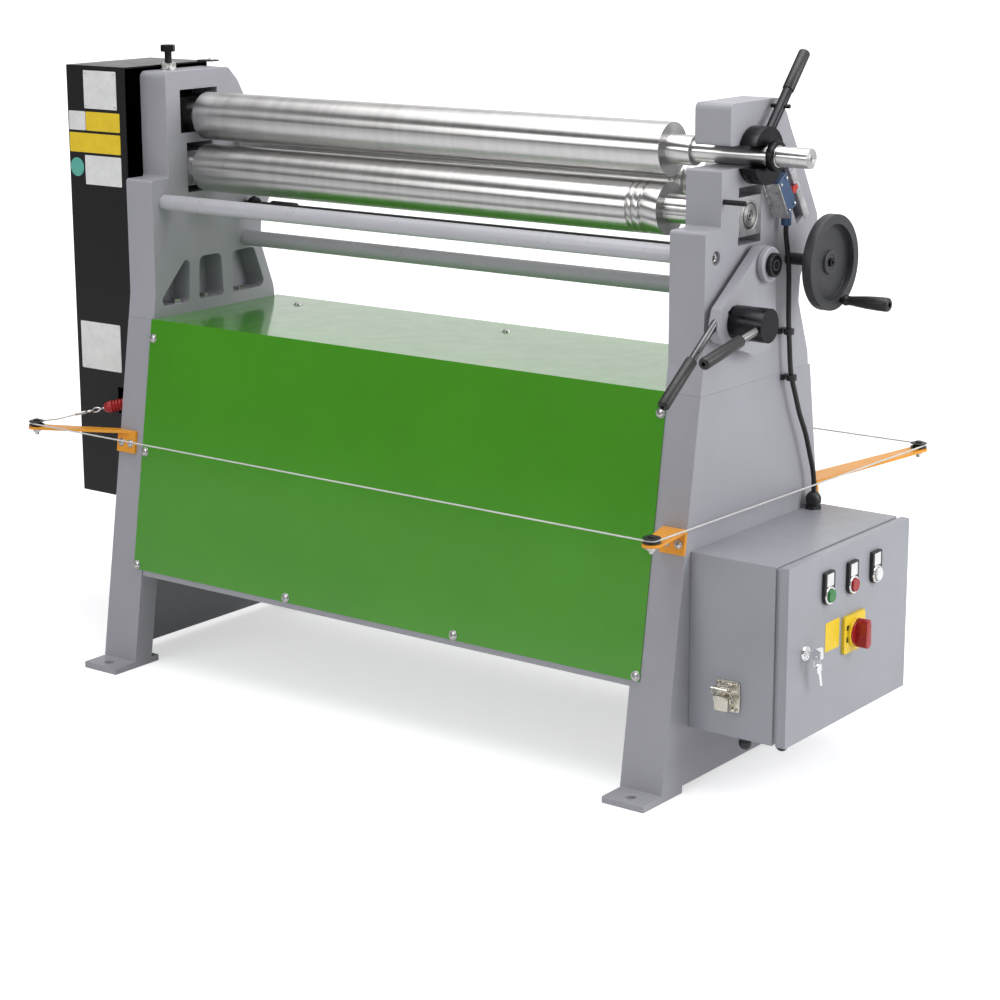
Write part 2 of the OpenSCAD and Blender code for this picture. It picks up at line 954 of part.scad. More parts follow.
// Sheet that lies on the stands' sloped faces and their tops
module cover_sheet(half_x, y_seam, z_low) {
    t = sheet_t;
    y0 = face_y(z_low);
    y1 = face_y(stand_h + t);
    along_x(-half_x, half_x)
        polygon([
            [-y0 - t, z_low], [-y1 - t, stand_h + t], [y_seam, stand_h + t],
            [y_seam, stand_h], [-face_y(stand_h), stand_h], [-y0, z_low]
        ]);
}

// Recess round the heads' feet in the covers' top sheets
module foot_recess(y0, y1) {
    for (s = [-1, 1])
        mirror([s < 0 ? 1 : 0, 0, 0])
            block([head_in - slip, y0, stand_h - 0.1], [head_out, y1, stand_h + 20]);
}

module front_cover() {
    color("forestgreen")
        difference() {
            cover_sheet(stand_in + cover_over, cover_seam, cover_low);
            foot_recess(-face_y(stand_h) - slip, face_y(stand_h));
        }
}

module rear_cover() {
    color("forestgreen")
        difference() {
            mirror([0, 1, 0])
                cover_sheet(stand_in + cover_over, -cover_seam, cover_low);
            foot_recess(0, face_y(stand_h) + slip);
        }
}

module gear_cover() {
    x0 = -head_out - gear_cover_w - cover_gap;
    x1 = -head_out;
    t = gear_cover_t;
    top = head_top + cover_rise;
    color("dimgray")
        difference() {
            block([x0, -cover_front, cover_z0], [x1, cover_back, top]);
            block([x0 + t, -cover_front + t, cover_z0 + t], [x1 + 1, cover_back - t, top - t]);
            block([x1 - opening_in - opening_w, -cover_front - 1, switch_root[2] - opening_down],
                  [x1 - opening_in, -cover_front + t + 1, switch_root[2] + opening_up]);
        }
}

// ---- control box ----

module control_box() {
    t = box_t;
    z0 = box_low;
    z1 = box_low + box_h;
    in = seal_inset;
    wide = seal_inset + seal_w;
    color("lightsteelblue")
        difference() {
            block([head_out, box_y0, z0], [box_face, box_y1, z1]);
            block([head_out + t, box_y0 + t, z0 + t], [box_face - t, box_y1 - t, z1 - t]);
            block([box_face - t - 1, box_y0 + wide, z0 + wide],
                  [box_face + 1, box_y1 - wide, z1 - wide]);
        }
    color("dimgray")
        difference() {
            block([box_face, box_y0 + in, z0 + in], [door_x0 - slip, box_y1 - in, z1 - in]);
            block([box_face - 1, box_y0 + wide, z0 + wide],
                  [door_x0 + 1, box_y1 - wide, z1 - wide]);
        }
}

module control_door() {
    t = box_t;
    z0 = box_low;
    z1 = box_low + box_h;
    color("lightsteelblue")
        difference() {
            block([door_x0, box_y0, z0], [door_x1, box_y1, z1]);
            block([door_x0 - 1, box_y0 + t, z0 + t], [door_x1 - t, box_y1 - t, z1 - t]);
            for (y = button_y)
                rod_x(door_x0, door_x1 + 1, [y, button_z], cap_hole);
            rod_x(door_x0, door_x1 + 1, [main_y, main_z], cap_hole);
        }
}

// Legend plates and bezels round the buttons, and the plate of the main switch
module door_plates() {
    x = door_x1;
    bezel_x = x + legend_t + bezel_t;
    half = main_plate / 2;
    color("lightgray")
        difference() {
            union() {
                for (y = button_y) {
                    block([x, y - legend_w / 2, button_z - legend_down],
                          [x + legend_t, y + legend_w / 2, button_z + legend_up]);
                    rod_x(x, bezel_x, [y, button_z], button_d + 8);
                }
                block([x, main_y - half, main_z - half], [x + main_plate_t, main_y + half, main_z + half]);
            }
            for (y = button_y) {
                rod_x(x - 1, bezel_x + 1, [y, button_z], cap_hole);
                rod_x(x + 2, bezel_x + 1, [y, button_z], button_d + 2 * slip);
            }
            rod_x(x - 1, x + main_plate_t + 1, [main_y, main_z], cap_hole);
        }
}

module button(y) {
    x = door_x1 + 2 + button_stroke + 1;
    rod_x(door_x1 - 8, x + 1, [y, button_z], cap_hole - 2 * slip);
    rod_x(x, x + button_t, [y, button_z], button_d);
}

module green_button() {
    color("green")
        button(button_y[0]);
}

module red_button() {
    color("red")
        button(button_y[1]);
}

module white_button() {
    color("white")
        button(button_y[2]);
}

module main_switch() {
    x = door_x1 + main_plate_t + 0.5;
    knob_t = 9;
    color("firebrick") {
        rod_x(door_x1 - 8, x + 1, [main_y, main_z], cap_hole - 2 * slip);
        rod_x(x, x + knob_t, [main_y, main_z], main_knob_d);
        block([x + knob_t - 1, main_y - main_grip[1] / 2, main_z - main_grip[0] / 2],
              [x + knob_t + main_grip[2], main_y + main_grip[1] / 2, main_z + main_grip[0] / 2]);
    }
}

// Door lock with its key
module door_lock() {
    barrel = 12;
    color("silver") {
        rod_x(door_x1, door_x1 + 5, [lock_y, lock_z], 26);
        rod_x(door_x1 + 4, door_x1 + barrel, [lock_y, lock_z], barrel);
        block([door_x1 + barrel - 1, lock_y - 1.5, lock_z - 12],
              [door_x1 + barrel + 22, lock_y + 1.5, lock_z + 4]);
    }
}

// Cable gland on the box, connector in its front wall and outlets under it
module cable_glands() {
    color("dimgray") {
        translate([box_gland_x, box_gland_y, box_low + box_h])
            cylinder(h = box_gland_h, d = box_gland_d);
        block([connector[0][0], box_y0 - connector_h, connector[0][1]],
              [connector[1][0], box_y0, connector[1][1]]);
        for (o = outlets)
            translate([o[0], o[1], box_low - outlet_h])
                cylinder(h = outlet_h, d = outlet_d);
    }
}

// ---- rope guard ----

groove_r = pulley_d / 2 - 5;
rope_r = groove_r + rope_d / 2 + 0.2;

// Folded bracket on a leg's sloped face: a plate at x, and a tapered arm to a pulley
module bracket(x, end) {
    s = end[1] > 0 ? 1 : -1;
    z0 = strap_z + strap_t - leg_plate_h;
    z1 = strap_z + strap_t - 1;
    root = [x, s * face_y(strap_z)];
    v = (end - root) / norm(end - root);
    n = strap_end_r * [-v[1], v[0]];
    along_x(x - leg_plate_w / 2, x + leg_plate_w / 2)
        polygon([
            [s * face_y(z0), z0], [s * (face_y(z0) + leg_plate_t), z0],
            [s * (face_y(z1) + leg_plate_t), z1], [s * face_y(z1), z1]
        ]);
    translate([0, 0, strap_z])
        linear_extrude(height = strap_t) {
            polygon([
                [x - s * leg_plate_w / 2, root[1]], [x + s * leg_plate_w / 2, root[1]],
                end - n, end + n
            ]);
            translate(end)
                circle(r = strap_end_r);
        }
}

module rope_brackets() {
    color("orange") {
        bracket(-leg_plate_x, pulley_left);
        bracket(leg_plate_x, pulley_right);
        bracket(leg_plate_x, pulley_back);
        bracket(-leg_plate_x, pulley_back_left);
    }
}

// Pulleys on the brackets' arms, and the post that the rope ends at
module rope_pulleys() {
    z0 = strap_z + strap_t;
    rim = 2.5;
    core = rope_d + 0.6;
    pin_d = 8;
    pin_out = 4;
    color("dimgray") {
        for (p = [pulley_left, pulley_right, pulley_back])
            translate([p[0], p[1], 0]) {
                translate([0, 0, z0])
                    cylinder(h = rope_z + core / 2 + rim + pin_out - z0, d = pin_d);
                translate([0, 0, rope_z - core / 2 - rim])
                    cylinder(h = rim, d = pulley_d);
                translate([0, 0, rope_z - core / 2])
                    cylinder(h = core, r = groove_r);
                translate([0, 0, rope_z + core / 2])
                    cylinder(h = rim, d = pulley_d);
            }
        translate([pulley_back_left[0], pulley_back_left[1] + rope_r, z0])
            cylinder(h = rope_z + 10 - z0, d = post_d);
    }
}

// Rope round a pulley, while its heading turns from h0 to h1 degrees
function wrap(p, h0, h1, n) = [
    for (i = [0:n])
        let (h = h0 + (h1 - h0) * i / n)
        [p[0] + rope_r * sin(h), p[1] - rope_r * cos(h), rope_z]
];

// The pull switch points at the left pulley: its root, its nose and the rope's end
switch_d = 24;
switch_body = [26, 40, 40];
post_d = 10;
switch_root = [-head_out - 19, -cover_front - 10, rope_z + 34];
pull = [pulley_left[0], pulley_left[1] + rope_r, rope_z] - switch_root;
switch_nose = switch_root + pull * 0.25;
rope_start = switch_root + pull * 0.5;
rope_route = concat(
    [rope_start, switch_root + pull * 0.8 + [0, 0, -2]],
    wrap(pulley_left, 218, 360, 8),
    wrap(pulley_right, 0, 87, 6),
    wrap(pulley_back, 87, 180, 6),
    [[pulley_back_left[0] + post_d / 2 + 0.2, pulley_back_left[1] + rope_r, rope_z]]
);

module trip_rope() {
    color("white")
        tube(rope_route, rope_d, [0, 0, 1], 8);
}

// Round bar between any two points
module rod(a, b, d) {
    v = b - a;
    translate(a)
        rotate([0, acos(v[2] / norm(v)), atan2(v[1], v[0])])
            cylinder(h = norm(v), d = d);
}

// Pull switch in the drive cover's opening, with the link that holds the rope
module rope_switch() {
    x1 = -head_out - slip;
    y0 = -cover_front + gear_cover_t + 3;
    link_d = 5;
    color("firebrick") {
        block([x1 - switch_body[0], y0, switch_root[2] - switch_body[2] / 2],
              [x1, y0 + switch_body[1], switch_root[2] + switch_body[2] / 2]);
        rod(switch_root + [0, 20, 0], switch_nose, switch_d);
        rod(switch_nose - pull * 0.02, rope_start - pull * 0.0008, link_d);
    }
}

left_stand();
right_stand();
stretchers();
left_head();
right_head();
front_tie_bar();
rear_tie_bar();
front_cover();
rear_cover();
gear_cover();
left_top_block();
height_bolt();
top_roll();
shaft_collar();
lower_blocks();
lower_roll();
rear_blocks();
rear_roll();
travel_pointer();
travel_scale();
switch_bracket();
limit_switch();
switch_cable();
cable_clips();
handwheel();
crank_grip();
latch_ring();
latch_grip();
pivot_pins();
pinch_arm();
arm_boss();
pinch_grip();
clamp_knob();
clamp_grip();
control_box();
control_door();
door_plates();
green_button();
red_button();
white_button();
main_switch();
door_lock();
cable_glands();
rope_brackets();
rope_pulleys();
trip_rope();
rope_switch();
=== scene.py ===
import json
import math

import bmesh
import bpy
from mathutils import Matrix, Vector


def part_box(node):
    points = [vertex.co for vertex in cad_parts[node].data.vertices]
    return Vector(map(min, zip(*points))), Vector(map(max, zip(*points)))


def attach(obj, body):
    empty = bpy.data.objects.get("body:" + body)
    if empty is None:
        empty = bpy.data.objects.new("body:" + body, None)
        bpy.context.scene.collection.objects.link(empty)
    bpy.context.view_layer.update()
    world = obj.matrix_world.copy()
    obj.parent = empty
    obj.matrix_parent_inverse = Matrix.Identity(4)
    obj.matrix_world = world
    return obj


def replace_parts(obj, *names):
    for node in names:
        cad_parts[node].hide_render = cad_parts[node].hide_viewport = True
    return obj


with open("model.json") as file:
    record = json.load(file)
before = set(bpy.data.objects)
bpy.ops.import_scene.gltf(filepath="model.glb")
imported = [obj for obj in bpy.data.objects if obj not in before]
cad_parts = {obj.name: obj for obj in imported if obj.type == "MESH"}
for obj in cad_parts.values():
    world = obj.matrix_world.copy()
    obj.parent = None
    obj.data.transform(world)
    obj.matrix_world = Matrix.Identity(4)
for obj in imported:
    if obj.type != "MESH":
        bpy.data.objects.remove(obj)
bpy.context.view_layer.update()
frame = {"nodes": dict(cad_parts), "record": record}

# Lengths below are in millimetres unless a name says otherwise.
MM = 0.001
X, Y, Z = Vector((1, 0, 0)), Vector((0, 1, 0)), Vector((0, 0, 1))


# ---- camera, floor and light ----

def add_camera():
    """Camera at the height and angle of a standing observer in front and to the right."""
    yaw = math.radians(37.334)
    pitch = math.radians(-13.549)
    roll = math.radians(-0.281)
    forward = Vector((
        -math.sin(yaw) * math.cos(pitch), math.cos(yaw) * math.cos(pitch), math.sin(pitch)
    ))
    right = Vector((math.cos(yaw), math.sin(yaw), 0))
    up = right.cross(forward)
    right_rolled = math.cos(roll) * right + math.sin(roll) * up
    up_rolled = math.cos(roll) * up - math.sin(roll) * right
    data = bpy.data.cameras.new("camera")
    data.lens = 88.82
    data.sensor_width = 36
    data.shift_x = 0.0219
    data.shift_y = -0.0263
    camera = bpy.data.objects.new("camera", data)
    turn = Matrix((right_rolled, up_rolled, -forward)).transposed()
    camera.matrix_world = Matrix.Translation((2.7147, -3.4796, 1.4751)) @ turn.to_4x4()
    bpy.context.scene.collection.objects.link(camera)
    bpy.context.scene.camera = camera


def area_light(name, place, target, size, power):
    data = bpy.data.lights.new(name, "AREA")
    data.shape = "RECTANGLE"
    data.size, data.size_y = size
    data.energy = power
    light = bpy.data.objects.new(name, data)
    light.location = place
    light.rotation_euler = (Vector(target) - Vector(place)).to_track_quat("-Z", "Y").to_euler()
    bpy.context.scene.collection.objects.link(light)


def add_node(tree, kind, inputs=None, **settings):
    """New node with its settings; inputs maps a socket's name or number to a value or a source."""
    made = tree.nodes.new(kind)
    for key, value in settings.items():
        setattr(made, key, value)
    for key, value in (inputs or {}).items():
        if isinstance(value, bpy.types.NodeSocket):
            tree.links.new(value, made.inputs[key])
        else:
            made.inputs[key].default_value = value
    return made


def seen_directly(tree):
    """1 on camera, glossy and transmission rays, 0 on the rest."""
    rays = add_node(tree, "ShaderNodeLightPath").outputs
    most = rays["Is Camera Ray"]
    for name in ("Is Glossy Ray", "Is Transmission Ray"):
        inputs = {0: most, 1: rays[name]}
        most = add_node(tree, "ShaderNodeMath", inputs, operation="MAXIMUM").outputs[0]
    return most


def add_world():
    """White to the eye, soft grey as a light; metal sees bands by height and a white backdrop."""
    world = bpy.data.worlds.new("studio")
    bpy.context.scene.world = world
    world.use_nodes = True
    tree = world.node_tree
    tree.nodes.clear()
    ambient = add_node(tree, "ShaderNodeBackground", {"Color": (0.97, 0.98, 1.0, 1), "Strength": 0.50})
    white = add_node(tree, "ShaderNodeBackground", {"Color": (1, 1, 1, 1)})
    heading = add_node(tree, "ShaderNodeTexCoord").outputs["Generated"]
    split = add_node(tree, "ShaderNodeSeparateXYZ", {0: heading}).outputs
    height = add_node(tree, "ShaderNodeMapRange", {"Value": split["Z"], "From Min": -1.0})
    ramp = add_node(tree, "ShaderNodeValToRGB", {0: height.outputs[0]})
    # Brightness by height, from straight down (0) over level (0.5) to straight up (1).
    levels = ((0.0, 0.50), (0.46, 0.36), (0.51, 0.05), (0.56, 0.05), (0.60, 0.30), (0.66, 0.60),
              (0.70, 0.55), (0.75, 0.06), (0.80, 0.04), (0.845, 0.12), (0.87, 1.8), (1.0, 1.8))
    stops = ramp.color_ramp.elements
    stops.remove(stops[1])
    for place, level in levels:
        stop = stops[0] if place == 0 else stops.new(place)
        stop.color = (level, level, level * 1.01, 1)
    backdrop = add_node(tree, "ShaderNodeMapRange", {
        "Value": split["Y"], "From Min": 0.55, "From Max": 0.70
    })
    lit = add_node(tree, "ShaderNodeMix", {
        "Factor": backdrop.outputs[0], "A": ramp.outputs["Color"], "B": (1, 1, 1, 1)
    }, data_type="RGBA")
    room = add_node(tree, "ShaderNodeBackground", {"Color": lit.outputs["Result"]})
    eye = add_node(tree, "ShaderNodeLightPath").outputs["Is Camera Ray"]
    seen = add_node(tree, "ShaderNodeMixShader", {0: eye, 1: room.outputs[0], 2: white.outputs[0]})
    mix = add_node(tree, "ShaderNodeMixShader", {
        0: seen_directly(tree), 1: ambient.outputs[0], 2: seen.outputs[0]
    })
    add_node(tree, "ShaderNodeOutputWorld", {0: mix.outputs[0]})


def add_floor():
    """Pale floor that keeps the shadow and reads white to the eye."""
    half = 30.0
    mesh = bpy.data.meshes.new("floor")
    corners = [(x * half, y * half, 0) for x, y in ((-1, -1), (1, -1), (1, 1), (-1, 1))]
    mesh.from_pydata(corners, [], [(0, 1, 2, 3)])
    floor = bpy.data.objects.new("floor", mesh)
    bpy.context.scene.collection.objects.link(floor)
    material = bpy.data.materials.new("floor_white")
    material.use_nodes = True
    tree = material.node_tree
    tree.nodes.clear()
    point = add_node(tree, "ShaderNodeNewGeometry").outputs["Position"]
    reach = add_node(tree, "ShaderNodeVectorMath", {0: point}, operation="LENGTH")
    rise = add_node(tree, "ShaderNodeMapRange", {
        "Value": reach.outputs["Value"], "From Min": NEAR, "From Max": FAR,
        "To Min": FLOOR_GLOW, "To Max": FAR_GLOW
    })
    eye = add_node(tree, "ShaderNodeLightPath").outputs["Is Camera Ray"]
    strength = add_node(tree, "ShaderNodeMapRange", {
        "Value": eye, "To Min": MIRRORED_GLOW, "To Max": rise.outputs[0]
    })
    inputs = {0: seen_directly(tree), 1: strength.outputs[0]}
    level = add_node(tree, "ShaderNodeMath", inputs, operation="MULTIPLY")
    glow = add_node(tree, "ShaderNodeEmission", {"Strength": level.outputs[0]})
    pale = add_node(tree, "ShaderNodeBsdfDiffuse", {"Color": (0.80, 0.80, 0.81, 1)})
    both = add_node(tree, "ShaderNodeAddShader", {0: pale.outputs[0], 1: glow.outputs[0]})
    add_node(tree, "ShaderNodeOutputMaterial", {0: both.outputs[0]})
    mesh.materials.append(material)


# Glow of the floor to the eye, near the machine and far off: it reads white where no shadow
# falls. Glossy surfaces see less of it.
FLOOR_GLOW = 0.55
FAR_GLOW = 0.95
MIRRORED_GLOW = 0.16
# Distances from the middle between which the glow rises, in metres.
NEAR, FAR = 1.2, 5.0
# Lamps: name, place, target and size in metres, and power in watts.
SOFTBOXES = (
    ("top_softbox", (0.6, -0.4, 3.4), (0.0, 0.0, 0.8), (2.6, 1.6), 48),
    ("right_softbox", (3.6, 0.9, 1.9), (0.3, 0.0, 0.7), (1.8, 2.2), 72),
    ("front_softbox", (-0.9, -3.8, 2.2), (0.0, 0.0, 0.7), (2.4, 1.4), 30),
)

bpy.context.scene.view_settings.view_transform = "Standard"
add_camera()
add_world()
add_floor()
for softbox in SOFTBOXES:
    area_light(*softbox)


# ---- materials ----

class Finish:
    """A procedural material with a Principled shader and helpers for its nodes."""

    def __init__(self, name, colour, rough, metallic=0.0, **settings):
        self.material = bpy.data.materials.new(name)
        self.material.use_nodes = True
        self.tree = self.material.node_tree
        self.shader = self.tree.nodes["Principled BSDF"]
        self.colour = colour
        self.shader.inputs["Base Color"].default_value = (*colour, 1)
        self.shader.inputs["Roughness"].default_value = rough
        self.shader.inputs["Metallic"].default_value = metallic
        for key, value in settings.items():
            self.shader.inputs[key.replace("_", " ")].default_value = value
        self.coords = self.node("ShaderNodeTexCoord").outputs["Object"]
        self.normal = None

    def node(self, kind, inputs=None, **settings):
        return add_node(self.tree, kind, inputs, **settings)

    def link(self, source, name):
        self.tree.links.new(source, self.shader.inputs[name])

    def noise(self, scale, detail=2.0, rough=0.5, stretch=(1, 1, 1)):
        """Noise over the object's own coordinates; scale is in cells a metre."""
        place = self.node("ShaderNodeMapping", {0: self.coords, "Scale": stretch})
        return self.node("ShaderNodeTexNoise", {
            "Vector": place.outputs[0], "Scale": scale, "Detail": detail, "Roughness": rough
        }).outputs["Fac"]

    def cells(self, scale):
        made = self.node("ShaderNodeTexVoronoi", {"Vector": self.coords, "Scale": scale})
        return self.node("ShaderNodeSeparateColor", {0: made.outputs["Color"]}).outputs[0]

    def spread(self, source, low, high, start=0.3, end=0.7):
        """Source mapped from start..end to low..high."""
        return self.node("ShaderNodeMapRange", {
            "Value": source, "From Min": start, "From Max": end, "To Min": low, "To Max": high
        }).outputs[0]

    def tone(self, source, dark, light):
        """Colour that runs from a darker to a lighter shade with the source."""
        low, high = ((*(min(1, c * shade) for c in self.colour), 1) for shade in (dark, light))
        made = self.node("ShaderNodeMix", {"Factor": source, "A": low, "B": high}, data_type="RGBA")
        self.link(made.outputs["Result"], "Base Color")

    def sheen_of(self, source, low, high):
        """Roughness that follows the source."""
        self.link(self.spread(source, low, high), "Roughness")

    def relief(self, source, depth):
        """Bump of a depth in millimetres, laid over what is there."""
        inputs = {"Height": source, "Distance": depth * MM, "Strength": 1.0}
        if self.normal is not None:
            inputs["Normal"] = self.normal
        self.normal = self.node("ShaderNodeBump", inputs).outputs[0]
        self.link(self.normal, "Normal")


def paint(name, colour, rough, peel=0.05, peel_scale=700, cast=0.0, cast_scale=38, **settings):
    """Sprayed or powder paint: orange peel, faint clouding and, on castings, a wavy skin."""
    made = Finish(name, colour, rough, **settings)
    cloud = made.noise(4.5, 3.0, 0.6)
    made.tone(made.spread(cloud, 0, 1), 0.95, 1.05)
    made.sheen_of(made.noise(26, 4.0, 0.65), rough - 0.05, rough + 0.07)
    if cast:
        made.relief(made.noise(cast_scale, 2.0, 0.5), cast)
        made.relief(made.noise(cast_scale * 6, 2.0, 0.5), cast * 0.12)
    made.relief(made.noise(peel_scale, 1.0, 0.4), peel)
    return made.material


def turned_steel(name, colour, rough, ring_scale=900, ring_depth=0.0006):
    """Steel turned and polished about X: fine rings that blur reflections along the axis."""
    made = Finish(name, colour, rough, 1.0, Anisotropic=0.85, Anisotropic_Rotation=0.25)
    tangent = made.node("ShaderNodeTangent", direction_type="RADIAL", axis="X")
    made.link(tangent.outputs[0], "Tangent")
    rings = made.noise(ring_scale, 3.0, 0.7, stretch=(1, 0.004, 0.004))
    bands = made.noise(60, 3.0, 0.6, stretch=(1, 0.01, 0.01))
    made.tone(made.spread(bands, 0, 1, 0.35, 0.65), 0.95, 1.03)
    made.sheen_of(bands, rough - 0.02, rough + 0.02)
    made.relief(rings, ring_depth)
    return made.material


def metal(name, colour, rough, grain=0.006, grain_scale=1400, spangle=None, stretch=(1, 1, 1)):
    """Milled, blackened or galvanised metal."""
    made = Finish(name, colour, rough, 1.0)
    if spangle:
        flakes = made.cells(spangle)
        made.tone(made.spread(flakes, 0, 1, 0, 1), 0.82, 1.08)
        made.sheen_of(made.spread(flakes, 0.3, 0.7, 0, 1), rough - 0.07, rough + 0.1)
    else:
        made.tone(made.spread(made.noise(35, 4.0, 0.6), 0, 1), 0.85, 1.15)
        made.sheen_of(made.noise(60, 4.0, 0.6), rough - 0.06, rough + 0.1)
    made.relief(made.noise(grain_scale, 2.0, 0.6, stretch), grain)
    return made.material


def plastic(name, colour, rough, grain=0.02, grain_scale=1600, **settings):
    """Moulded plastic or rubber with a fine spark-eroded skin."""
    made = Finish(name, colour, rough, 0.0, **settings)
    made.tone(made.spread(made.noise(40, 3.0, 0.6), 0, 1), 0.93, 1.07)
    made.sheen_of(made.noise(90, 3.0, 0.6), rough - 0.05, rough + 0.08)
    made.relief(made.noise(grain_scale, 2.0, 0.5), grain)
    return made.material


# Finishes: the maker, the colour, the roughness and the rest of its settings.
FINISHES = {
    "frame_paint": (paint, (0.335, 0.332, 0.365), 0.38, dict(peel=0.04)),
    "cast_paint": (paint, (0.345, 0.342, 0.375), 0.40, dict(peel=0.05, cast=0.5)),
    "tie_paint": (paint, (0.47, 0.47, 0.50), 0.30, dict(peel=0.02)),
    "green_paint": (paint, (0.058, 0.285, 0.010), 0.35, dict(
        peel=0.0005, peel_scale=60, Specular_IOR_Level=0.15, Coat_Weight=1.0, Coat_Roughness=0.08)),
    "black_paint": (paint, (0.006, 0.006, 0.007), 0.30, dict(peel=0.01, Specular_IOR_Level=0.3)),
    "orange_paint": (paint, (0.80, 0.33, 0.022), 0.33, {}),
    "box_paint": (paint, (0.315, 0.325, 0.355), 0.34, dict(peel=0.05, peel_scale=900)),
    "red_paint": (paint, (0.52, 0.03, 0.02), 0.35, {}),
    "roll_steel": (turned_steel, (0.66, 0.65, 0.64), 0.30, {}),
    "block_steel": (metal, (0.50, 0.50, 0.52), 0.36, dict(stretch=(1, 1, 0.02))),
    "black_steel": (metal, (0.030, 0.030, 0.033), 0.30, dict(grain=0.004)),
    "zinc": (metal, (0.60, 0.60, 0.59), 0.27, dict(grain=0.002, spangle=160)),
    "scale_plate": (metal, (0.70, 0.70, 0.71), 0.30, {}),
    "black_grip": (plastic, (0.010, 0.010, 0.011), 0.42, dict(grain=0.05, grain_scale=900)),
    "black_plastic": (plastic, (0.011, 0.011, 0.012), 0.38, {}),
    "wheel_plastic": (plastic, (0.028, 0.029, 0.031), 0.44, dict(grain=0.05)),
    "blue_plastic": (plastic, (0.030, 0.070, 0.155), 0.36, {}),
    "pale_plastic": (plastic, (0.60, 0.60, 0.60), 0.35, {}),
    "green_plastic": (plastic, (0.02, 0.19, 0.035), 0.28, {}),
    "red_plastic": (plastic, (0.34, 0.010, 0.012), 0.28, {}),
    "white_plastic": (plastic, (0.74, 0.74, 0.73), 0.30, {}),
    "black_rubber": (plastic, (0.010, 0.010, 0.010), 0.48, dict(grain=0.04)),
    "rope_cover": (plastic, (0.62, 0.62, 0.60), 0.30, {}),
    "gun_steel": (metal, (0.10, 0.10, 0.105), 0.26, dict(grain=0.001)),
    "tool_steel": (metal, (0.20, 0.20, 0.20), 0.34, dict(grain=0.002)),
    "chrome": (metal, (0.78, 0.78, 0.79), 0.08, dict(grain=0.0006)),
    "nickel": (metal, (0.60, 0.57, 0.50), 0.22, dict(grain=0.004)),
    "yellow_plate": (plastic, (0.80, 0.56, 0.014), 0.34, {}),
    "mint_plate": (plastic, (0.10, 0.42, 0.34), 0.36, {}),
}
MATERIALS = {
    name: make(name, colour, rough, **options)
    for name, (make, colour, rough, options) in FINISHES.items()
}

CAST = ("left_head", "right_head", "pinch_arm", "arm_boss")
for part in frame["record"]["subparts"]:
    node, slot = part["node"], part["material_slot"]
    if node in CAST:
        slot = "cast_paint"
    mesh = frame["nodes"][node].data
    mesh.materials.clear()
    mesh.materials.append(MATERIALS[slot])

# Radius of the rounded edges of each CAD node, in millimetres.
EDGE = {
    "left_head": 7.0, "right_head": 7.0, "pinch_arm": 3.5, "arm_boss": 2.5,
    "left_stand": 2.2, "right_stand": 2.2,
    "stretchers": 1.0, "front_cover": 0.8, "rear_cover": 0.8, "gear_cover": 1.2,
    "front_tie_bar": 1.0, "rear_tie_bar": 1.0, "left_top_block": 1.0, "height_bolt": 0.6,
    "top_roll": 0.4, "lower_roll": 0.4, "rear_roll": 0.4, "shaft_collar": 1.0,
    "lower_blocks": 0.8, "rear_blocks": 0.8, "handwheel": 2.6, "crank_grip": 2.0,
    "latch_ring": 1.2, "latch_grip": 3.0, "pivot_pins": 1.2, "pinch_grip": 2.4,
    "clamp_knob": 2.5, "clamp_grip": 2.4, "control_box": 1.5, "control_door": 1.8,
    "door_plates": 0.8, "green_button": 0.8, "red_button": 0.8, "white_button": 0.8,
    "main_switch": 1.5, "door_lock": 0.6, "cable_glands": 1.5, "rope_brackets": 0.8,
    "rope_pulleys": 0.5, "rope_switch": 1.5, "limit_switch": 1.5, "switch_bracket": 0.6,
    "cable_clips": 1.0, "travel_pointer": 0.4, "travel_scale": 0.2,
}


def round_edges(obj, radius):
    """Welds the split faces of a CAD node and rounds its edges with modifiers."""
    weld = obj.modifiers.new("weld", "WELD")
    weld.merge_threshold = 0.01 * MM
    flat = obj.modifiers.new("flatten", "DECIMATE")
    flat.decimate_type = "DISSOLVE"
    flat.angle_limit = math.radians(0.3)
    bevel = obj.modifiers.new("round", "BEVEL")
    bevel.width = radius * MM
    bevel.segments = 3
    bevel.limit_method = "ANGLE"
    bevel.angle_limit = math.radians(32)
    bevel.harden_normals = True
    bevel.use_clamp_overlap = True


for node, radius in EDGE.items():
    round_edges(frame["nodes"][node], radius)


# ---- shapes ----

